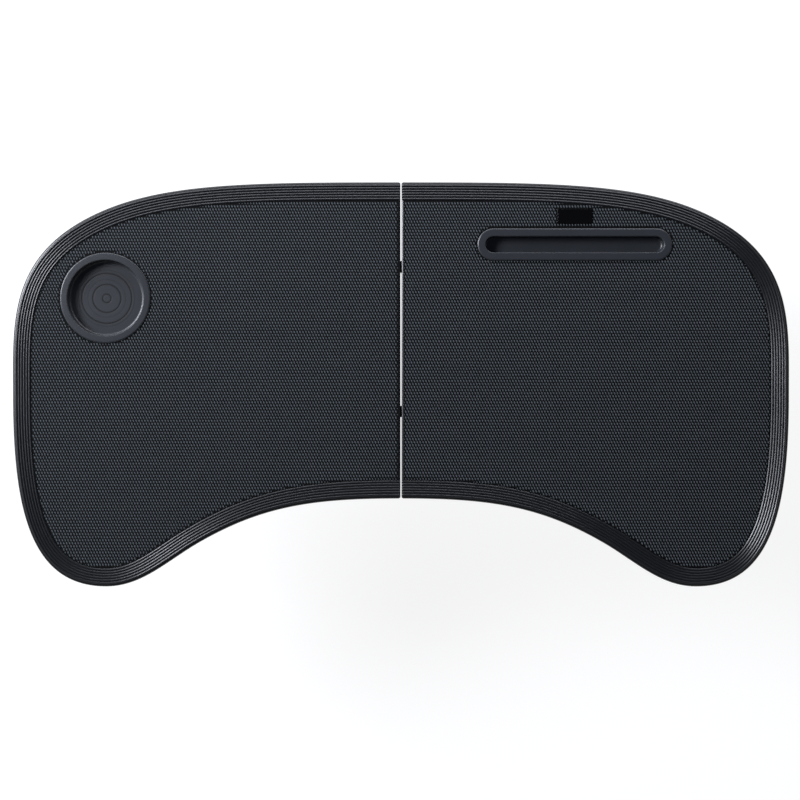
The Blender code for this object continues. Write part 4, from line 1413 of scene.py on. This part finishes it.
@dataclass(frozen=True)
class Hinge:
    """A double-pivot hinge: a plate with two ears on each leaf, and a link between their pins.

    Attributes:
        pin_offset: Distance of a pin from the seam's middle.
        pin_drop: Drop of the pins.
        link_width: Width of the link along Y.
        link_radius: Radius of its round ends.
        ear: Thickness of an ear.
        ear_gap: Clearance beside the link.
        near: Where the plate starts, from the seam's middle.
        far: Where it ends.
        width: Width of the plate.
        plate_top: Drop of the plate's upper face.
        plate_bottom: Drop of its lower face.
        ear_root: How far the ears' root reaches behind the pin.
        wall_back: Distance of the ears' back from the seam's middle.
        slot_drop: Drop of the ears' upper edge there.
        screws: Distances of the screws from the seam's middle.
        edge: Radius of the edges of plate and ears.
        corner: Radius of the plate's corners.
        wall_corner: Radius of the corners of the wall between the ears.
        link_edge: Radius of the link's edges.
        rivet: The pins.
    """

    pin_offset: float = 6.5 * MM
    pin_drop: float = 19.0 * MM
    link_width: float = 9.2 * MM
    link_radius: float = 4.0 * MM
    ear: float = 2.5 * MM
    ear_gap: float = 0.3 * MM
    near: float = 9.0 * MM
    far: float = 34.0 * MM
    width: float = 20.0 * MM
    plate_top: float = 7.3 * MM
    plate_bottom: float = 9.7 * MM
    ear_root: float = 13.0 * MM
    wall_back: float = 5.59 * MM
    slot_drop: float = 11.3 * MM
    screws: Pair = (16.5 * MM, 28.0 * MM)
    edge: float = 0.35 * MM
    corner: float = 3.0 * MM
    wall_corner: float = 0.4 * MM
    link_edge: float = 0.6 * MM
    rivet: Rivet = Rivet(radius=1.5 * MM, head=2.6 * MM)

    def plate(self, screw: Screw) -> Shell:
        """The left plate about the seam's middle: base, ears and the wall that stops the link.

        Args:
            screw: The screw whose holes are cut.

        Returns:
            The closed surface.
        """
        half = self.width / 2
        plan = round_cornered((-self.far, -half), (-self.near, half), self.corner)
        base = prism(plan, -self.plate_bottom, -self.plate_top, self.edge)
        root = -(self.plate_bottom + self.plate_top) / 2
        back = -self.wall_back
        pin = (-self.pin_offset, -self.pin_drop)
        side = np.concatenate((
            arc(pin, self.link_radius, 0, -160, END_STEPS)[::-1],
            [(back, -self.slot_drop), (back, root), (-self.pin_offset - self.ear_root, root)],
        ))
        inner = self.link_width / 2 + self.ear_gap
        ears = pair_of_ears(side, inner, self.ear, self.edge)
        reach = inner + self.ear / 2
        low = (pin[0] - self.link_radius, pin[1] + self.link_radius + self.ear_gap)
        wall = prism(round_cornered(low, (back, root), self.wall_corner), -reach, reach, BURIED_EDGE, Axis.Y)
        holes = screw.holes([(-x, 0, -self.plate_bottom) for x in self.screws])
        return carved(base, [ears, wall], [holes])

    def link(self) -> Shell:
        """The link between the two pins: a round-ended bar along X with eased edges."""
        bar = stadium(2 * (self.pin_offset + self.link_radius), 2 * self.link_radius, END_STEPS)
        return prism(bar, -self.link_width / 2, self.link_width / 2, self.link_edge, Axis.Y)

    def build(self, screw: Screw, top: float) -> None:
        """Makes both hinges.

        Args:
            screw: The screw that holds the plates.
            top: Height of the ridges' crests.
        """
        plate, bar = self.plate(screw), self.link()
        for place in Place:
            link = f"hinge_{place.value}_link"
            y = middle(link)[1]
            shell = bar.placed((0, y, top - self.pin_drop))
            make_piece(f"{link}_bar", shell, NYLON, "hinge_links", link)
            for side in Side:
                node = f"hinge_{place.value}_{side.word}"
                shell = plate.on(side).placed((0, y, top))
                make_piece(f"{node}_plate_moulding", shell, NYLON, side.leaf, f"{node}_plate")
                self.rivet.build(f"{node}_pin", side.leaf)


# Leg frames.


@dataclass(frozen=True)
class LegFrame:
    """A folding leg: a bent steel tube with an eye fitting on each end, brackets, pins and rubber feet.

    Attributes:
        length: From the pivot to the middle of the bottom bar.
        splay: How far the leg leans outwards, in radians.
        tube: Radius of the tube.
        bend: Radius of its bends.
        seat: Where its ends lie, below the pivot.
        eye: Radius of the eye fittings.
        eye_steps: Steps round an eye's top.
        eye_width: Width of an eye along Y.
        eye_reach: Where an eye ends, below the pivot.
        eye_corner: Radius of its lower corners.
        eye_edge: Radius of its edges.
        collar: Height and thickness of the collar under an eye, and its chamfer.
        bracket: Length, width and thickness of a bracket's plate.
        bracket_corner: Radius of the plate's corners.
        bracket_edges: Radius of the edges of plate, ears and stop.
        bracket_drop: Height of the plate's lower face above the pivot.
        ear: Thickness of a bracket's ears.
        ear_radius: Radius of their round ends.
        ear_root: Half of the ears' length at the plate.
        screw_reach: Distance of the screws from the pivot.
        foot: Length of a foot.
        foot_points: Steps over its crown, and points along it between its eased ends.
        sole: Thickness of its sole under the tube.
        foot_wall: Thickness of its sides.
        foot_corner: Chamfer along its sole.
        foot_ease: Length of its eased ends.
        foot_taper: How far the ends are drawn in, as a share of that length.
        crown: Thickness of its top.
        grooves: Places of the tread's grooves along it.
        tread: Depth and half width of a groove, and how far up from the sole it reaches.
        gap: Clearance of what turns or is pushed together.
        rivet: The pins.
    """

    length: float = 187 * MM
    splay: float = math.radians(5)
    tube: float = 5.0 * MM
    bend: float = 25 * MM
    seat: float = 8.8 * MM
    eye: float = 6.5 * MM
    eye_steps: int = 20
    eye_width: float = 14 * MM
    eye_reach: float = 24 * MM
    eye_corner: float = 1.5 * MM
    eye_edge: float = 0.9 * MM
    collar: Triple = (1.6 * MM, 1.0 * MM, 0.5 * MM)
    bracket: Triple = (36 * MM, 22 * MM, 2.4 * MM)
    bracket_corner: float = 4.0 * MM
    bracket_edges: Triple = (0.5 * MM, 0.4 * MM, 0.2 * MM)
    bracket_drop: float = 6.8 * MM
    ear: float = 2.6 * MM
    ear_radius: float = 5.0 * MM
    ear_root: float = 10.0 * MM
    screw_reach: float = 13.5 * MM
    foot: float = 36 * MM
    foot_points: tuple[int, int] = (24, 75)
    sole: float = 2.5 * MM
    foot_wall: float = 1.2 * MM
    foot_corner: float = 0.8 * MM
    foot_ease: float = 1.0 * MM
    foot_taper: float = 0.6
    crown: float = 1.4 * MM
    grooves: tuple[float, ...] = (-12 * MM, -6 * MM, 0.0, 6 * MM, 12 * MM)
    tread: Triple = (0.6 * MM, 0.8 * MM, 1.2 * MM)
    gap: float = 0.3 * MM
    rivet: Rivet = Rivet(radius=2.0 * MM, head=3.1 * MM)

    def bent_tube(self, rear: float, front: float) -> Shell:
        """The tube about the pivot: a circle carried down, round two bends along the bottom bar, and up.

        Args:
            rear: Y of the rear upright.
            front: Y of the front upright.

        Returns:
            The closed surface.
        """
        bend, foot = self.bend, -self.length
        path = np.concatenate((
            [(rear, -self.seat)],
            arc((rear - bend, foot + bend), bend, 0, -90, END_STEPS),
            arc((front + bend, foot + bend), bend, -90, -180, END_STEPS),
            [(front, -self.seat)],
        ))
        way = np.gradient(path, axis=0)
        way[1], way[-2] = (0, -1), (0, 1)
        way[END_STEPS + 1 : END_STEPS + 3] = (-1, 0)
        way /= np.linalg.norm(way, axis=1, keepdims=True)
        across = np.stack((way[:, 1], -way[:, 0]), 1)
        angle = np.linspace(0, 2 * math.pi, ROUND_POINTS, endpoint=False)[None, :, None]
        plan = path[:, None] + self.tube * np.sin(angle) * across[:, None]
        out = np.broadcast_to(self.tube * np.cos(angle), plan.shape[:2] + (1,))
        return loft(np.concatenate((out, plan), -1))

    def eye_fitting(self) -> Shell:
        """The eye about the pivot, with the leg straight down: a round-topped block with a collar below."""
        corner, end = self.eye_corner, -self.eye_reach
        side = np.concatenate((
            arc((0, 0), self.eye, 0, 180, self.eye_steps),
            arc((corner - self.eye, end + corner), corner, 180, 270, EDGE_STEPS),
            arc((self.eye - corner, end + corner), corner, 270, 360, EDGE_STEPS),
        ))
        block = prism(side, -self.eye_width / 2, self.eye_width / 2, self.eye_edge, Axis.Y)
        height, wall, chamfer = self.collar
        low, radius = end - height, self.tube + wall
        collar = [(0, low), (radius - chamfer, low), (radius, low + chamfer), (radius, end + ROOT)]
        return carved(block, [turned([*collar, (0, end + ROOT)])])

    def bracket_moulding(self, screw: Screw) -> Shell:
        """The left bracket about its pivot: plate, two ears, and the wall that stops the open leg.

        Args:
            screw: The screw whose holes are cut.

        Returns:
            The closed surface.
        """
        length, width, plate = self.bracket
        plate_edge, ear_edge, stop_edge = self.bracket_edges
        low, top = self.bracket_drop, self.bracket_drop + plate
        plan = round_cornered((-length / 2, -width / 2), (length / 2, width / 2), self.bracket_corner)
        base = prism(plan, low, top, plate_edge)
        root = low + plate / 2
        side = np.concatenate((
            arc((0, 0), self.ear_radius, -170, -10, END_STEPS),
            [(self.ear_root, root), (-self.ear_root, root)],
        ))
        inner = self.eye_width / 2 + self.gap
        ears = pair_of_ears(side, inner, self.ear, ear_edge)
        face = -(self.eye / math.cos(self.splay) + self.gap)
        back, end, foot = face - self.ear, top - plate / 4, -self.ear_radius
        lean = math.tan(self.splay) * foot
        stop = np.array([(back + lean, foot), (face + lean, foot), (face, 0), (face, end), (back, end)])
        reach = inner + self.ear / 2
        wall = prism(stop, -reach, reach, stop_edge, Axis.Y)
        holes = screw.holes([(x, 0, low) for x in (-self.screw_reach, self.screw_reach)])
        return carved(base, [ears, wall], [holes])

    def foot_pad(self) -> Shell:
        """A foot about the tube's middle: a flat-soled, round-topped sleeve with a grooved tread.

        At a share s of the way into an eased end of length r the section is drawn in by a fixed share of
        r (1 - sqrt(1 - s^2)). At a distance d from a groove the sole rises by g exp(-(d / w)^2).

        Returns:
            The closed surface.
        """
        crown_steps, middle_points = self.foot_points
        half = self.tube + self.gap + self.foot_wall
        rise = (self.tube + self.gap + self.crown) / half
        sole, corner = -(self.tube + self.sole), self.foot_corner
        side = np.concatenate((
            arc((0, 0), half, 0, 180, crown_steps) * (1, rise),
            [(-half, sole + corner), (-half + corner, sole), (half - corner, sole), (half, sole + corner)],
        ))
        ease, full = self.foot_ease, self.foot / 2 - self.foot_ease
        end = self.foot / 2 - ease * (1 - np.cos(np.linspace(0, math.pi / 2, EDGE_STEPS + 1)))
        along = np.concatenate((-end, np.linspace(-full, full, middle_points)[1:-1], end[::-1]))
        share = np.clip((np.abs(along) - full) / ease, 0, 1)
        inset = self.foot_taper * ease * (1 - np.sqrt(1 - share**2))
        plan = np.stack([drawn_in(side, i) for i in inset])
        depth, spread, height = self.tread
        nearest = np.abs(along[:, None] - self.grooves).min(1)
        groove = depth * np.exp(-((nearest / spread) ** 2))
        plan[..., 1] += np.where(plan[..., 1] < sole + height, groove[:, None], 0)
        plan[..., 1] = np.maximum(plan[..., 1], sole)
        return loft(upright(plan, along, Axis.Y))

    def build(self, screw: Screw) -> None:
        """Makes both leg frames with their brackets.

        Args:
            screw: The screw that holds the brackets.
        """
        bracket, eye, foot = self.bracket_moulding(screw), self.eye_fitting(), self.foot_pad()
        places = {p: middle(f"left_leg_bracket_{p.value}")[1] for p in Place}
        tube = self.bent_tube(places[Place.REAR], places[Place.FRONT])
        for side in Side:
            turn = -side.value * self.splay
            hub = pivot(f"{side.word}_leg_fold")
            bar = hub + np.array((side.value * math.sin(self.splay), 0, -math.cos(self.splay))) * self.length
            name = f"{side.word}_leg_tube"
            make_piece(f"{side.word}_leg_bent_tube", tube.placed(hub, turn), POWDER_COAT, side.leg, name)
            for place, y in places.items():
                here = hub + (0, y, 0)
                name = f"{side.word}_leg_eye_{place.value}"
                make_piece(f"{name}_fitting", eye.placed(here, turn), NYLON, side.leg, name)
                name = f"{side.word}_leg_bracket_{place.value}"
                make_piece(f"{name}_moulding", bracket.on(side).placed(here), NYLON, side.leaf, name)
                self.rivet.build(f"{side.word}_leg_pin_{place.value}", side.leaf)
                name = f"{side.word}_foot_{place.value}"
                pad = foot.placed((bar[0], middle(name)[1], bar[2]))
                make_piece(f"{name}_pad", pad, FOOT_RUBBER, side.leg, name)


# The studio.


@dataclass(frozen=True)
class Lamp:
    """An area lamp aimed at the middle of the table top.

    Attributes:
        name: Its name.
        place: Where it stands.
        size: Its width, which lies level, and its height.
        power: Its power in watts.
        colour: Its colour, sRGB.
    """

    name: str
    place: Triple
    size: Pair
    power: float
    colour: str = "#f2f6ff"


@dataclass(frozen=True)
class Studio:
    """Camera, lamps, world and floor.

    Attributes:
        eye: The camera's place in X and Y.
        distance: Its height above the table top.
        lens: Its focal length in millimetres.
        sensor: Width of its sensor in millimetres.
        clip: Nearest and farthest distance that it sees.
        lamps: The lamps.
        ceiling: Colour of the world overhead, sRGB, where it is white near the horizon.
        horizon: Sines of the elevations between which the world's white gives way to the ceiling.
        reach: Half of the floor's width.
        paper: Colour of the floor, sRGB.
        glow: Strength of the floor's own light for the camera, which fills most of the shadow.
        clearing: Distances from the middle between which that strength grows to 1, so that no edge shows.
    """

    eye: Pair = (-0.8 * MM, -12.5 * MM)
    distance: float = 1.2
    lens: float = 67.5
    sensor: float = 36.0
    clip: Pair = (0.05, 20.0)
    lamps: tuple[Lamp, ...] = (
        Lamp("key_lamp", (-2.44, 1.00, 1.95), (1.4, 0.9), 118.0),
        Lamp("side_lamp", (-0.90, 0.38, 0.95), (0.4, 0.4), 6.5),
        Lamp("back_lamp", (0.0, 0.56, 0.42), (1.2, 0.15), 3.4),
    )
    ceiling: str = "#454a52"
    horizon: Pair = (0.10, 0.40)
    reach: float = 4.0
    paper: str = "#7c7c7c"
    glow: float = 0.86
    clearing: Pair = (0.7, 1.8)

    def shoot(self, top: float) -> None:
        """Sets up the camera, which looks straight down with the table's far edge up.

        Args:
            top: Height of the table top.
        """
        data = bpy.data.cameras.new("camera")
        data.lens, data.sensor_width = self.lens, self.sensor
        data.clip_start, data.clip_end = self.clip
        camera = shown("camera", data)
        camera.location = (*self.eye, top + self.distance)
        bpy.context.scene.camera = camera
        bpy.context.scene.view_settings.view_transform = "Standard"

    def light(self, top: float) -> None:
        """Sets up the lamps and the world: white near and below the horizon, and darker overhead.

        Args:
            top: Height of the table top.
        """
        for lamp in self.lamps:
            data = bpy.data.lights.new(lamp.name, "AREA")
            data.shape, (data.size, data.size_y) = "RECTANGLE", lamp.size
            data.energy, data.color = lamp.power, linear(lamp.colour)[:3]
            made = shown(lamp.name, data)
            made.location = lamp.place
            aim = Vector((0, 0, top)) - made.location
            made.rotation_euler = aim.to_track_quat("-Z", "Y").to_euler()
        world = bpy.data.worlds.new("world")
        bpy.context.scene.world = world
        world.use_nodes = True
        tree = world.node_tree
        way = add_node(tree, "ShaderNodeTexCoord", {}).outputs["Generated"]
        rise = add_node(tree, "ShaderNodeSeparateXYZ", {"Vector": way}).outputs["Z"]
        low, high = self.horizon
        ends = {"Value": rise, "From Min": low, "From Max": high}
        share = add_node(tree, "ShaderNodeMapRange", ends, interpolation_type="SMOOTHSTEP").outputs["Result"]
        colours = {0: share, 6: linear("#ffffff"), 7: linear(self.ceiling)}
        shade = add_node(tree, "ShaderNodeMix", colours, data_type="RGBA").outputs[2]
        plug(tree.nodes["Background"], {"Color": shade})

    def lay_floor(self) -> None:
        """Lays the floor: pale paper that keeps a soft shadow and is clear from below."""
        mesh = bpy.data.meshes.new("floor")
        corners = np.array([(-1, -1, 0), (1, -1, 0), (1, 1, 0), (-1, 1, 0)]) * self.reach
        mesh.from_pydata(corners.tolist(), [], [(0, 1, 2, 3)])
        floor = shown("floor", mesh)
        material = bpy.data.materials.new("backdrop_paper")
        material.use_nodes = True
        tree = material.node_tree
        tree.nodes.clear()
        paper = add_node(tree, "ShaderNodeBsdfDiffuse", {"Color": linear(self.paper)})
        place = add_node(tree, "ShaderNodeTexCoord", {}).outputs["Object"]
        away = add_node(tree, "ShaderNodeVectorMath", {0: place}, operation="LENGTH").outputs["Value"]
        near, far = self.clearing
        ends = {"Value": away, "From Min": near, "From Max": far, "To Min": self.glow}
        strength = add_node(tree, "ShaderNodeMapRange", ends).outputs["Result"]
        ray = add_node(tree, "ShaderNodeLightPath", {}).outputs
        seen = add_node(tree, "ShaderNodeMath", {0: ray["Is Camera Ray"], 1: ray["Is Glossy Ray"]})
        seen = add_node(tree, "ShaderNodeMath", {0: seen.outputs[0], 1: ray["Is Transmission Ray"]})
        seen = add_node(tree, "ShaderNodeMath", {0: seen.outputs[0], 1: strength}, operation="MULTIPLY")
        glow = add_node(tree, "ShaderNodeEmission", {"Strength": seen.outputs[0]})
        both = add_node(tree, "ShaderNodeAddShader", {0: paper.outputs[0], 1: glow.outputs[0]})
        clear = add_node(tree, "ShaderNodeBsdfTransparent", {})
        back = add_node(tree, "ShaderNodeNewGeometry", {}).outputs["Backfacing"]
        mixed = add_node(tree, "ShaderNodeMixShader", {0: back, 1: both.outputs[0], 2: clear.outputs[0]})
        add_node(tree, "ShaderNodeOutputMaterial", {"Surface": mixed.outputs[0]})
        mesh.materials.append(material)


def main() -> None:
    """Builds the table's pieces in order."""
    logging.basicConfig(level=logging.INFO, format="%(name)s: %(message)s")
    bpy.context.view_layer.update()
    low, high = node_box("left_deck")
    top = float(high[2])
    studio = Studio()
    studio.shoot(top)
    studio.light(top)
    studio.lay_floor()
    leaf = Leaf(KidneyOutline(depth=float(high[1] - low[1])), top)
    cup = Recess.fitted(Insert.CUP, CUP_FLANGE, CUP_RINGS)
    slot = Recess.fitted(Insert.SLOT, SLOT_FLANGE)
    badge = Badge()
    Deck(leaf).build({
        Side.LEFT: cup.opening(cup.wall + HOLE_GAP),
        Side.RIGHT: slot.opening(slot.wall + HOLE_GAP),
    })
    Mat(leaf).build({
        Side.LEFT: [cup.opening(cup.flange + HOLE_GAP)],
        Side.RIGHT: [slot.opening(slot.flange + HOLE_GAP, across=-1), badge.opening()],
    })
    cup.build(Side.LEFT, top)
    slot.build(Side.RIGHT, top)
    badge.build()
    screw = Screw()
    Hinge().build(screw, top)
    LegFrame().build(screw)
    screw.build()


if __name__ == "__main__":
    main()
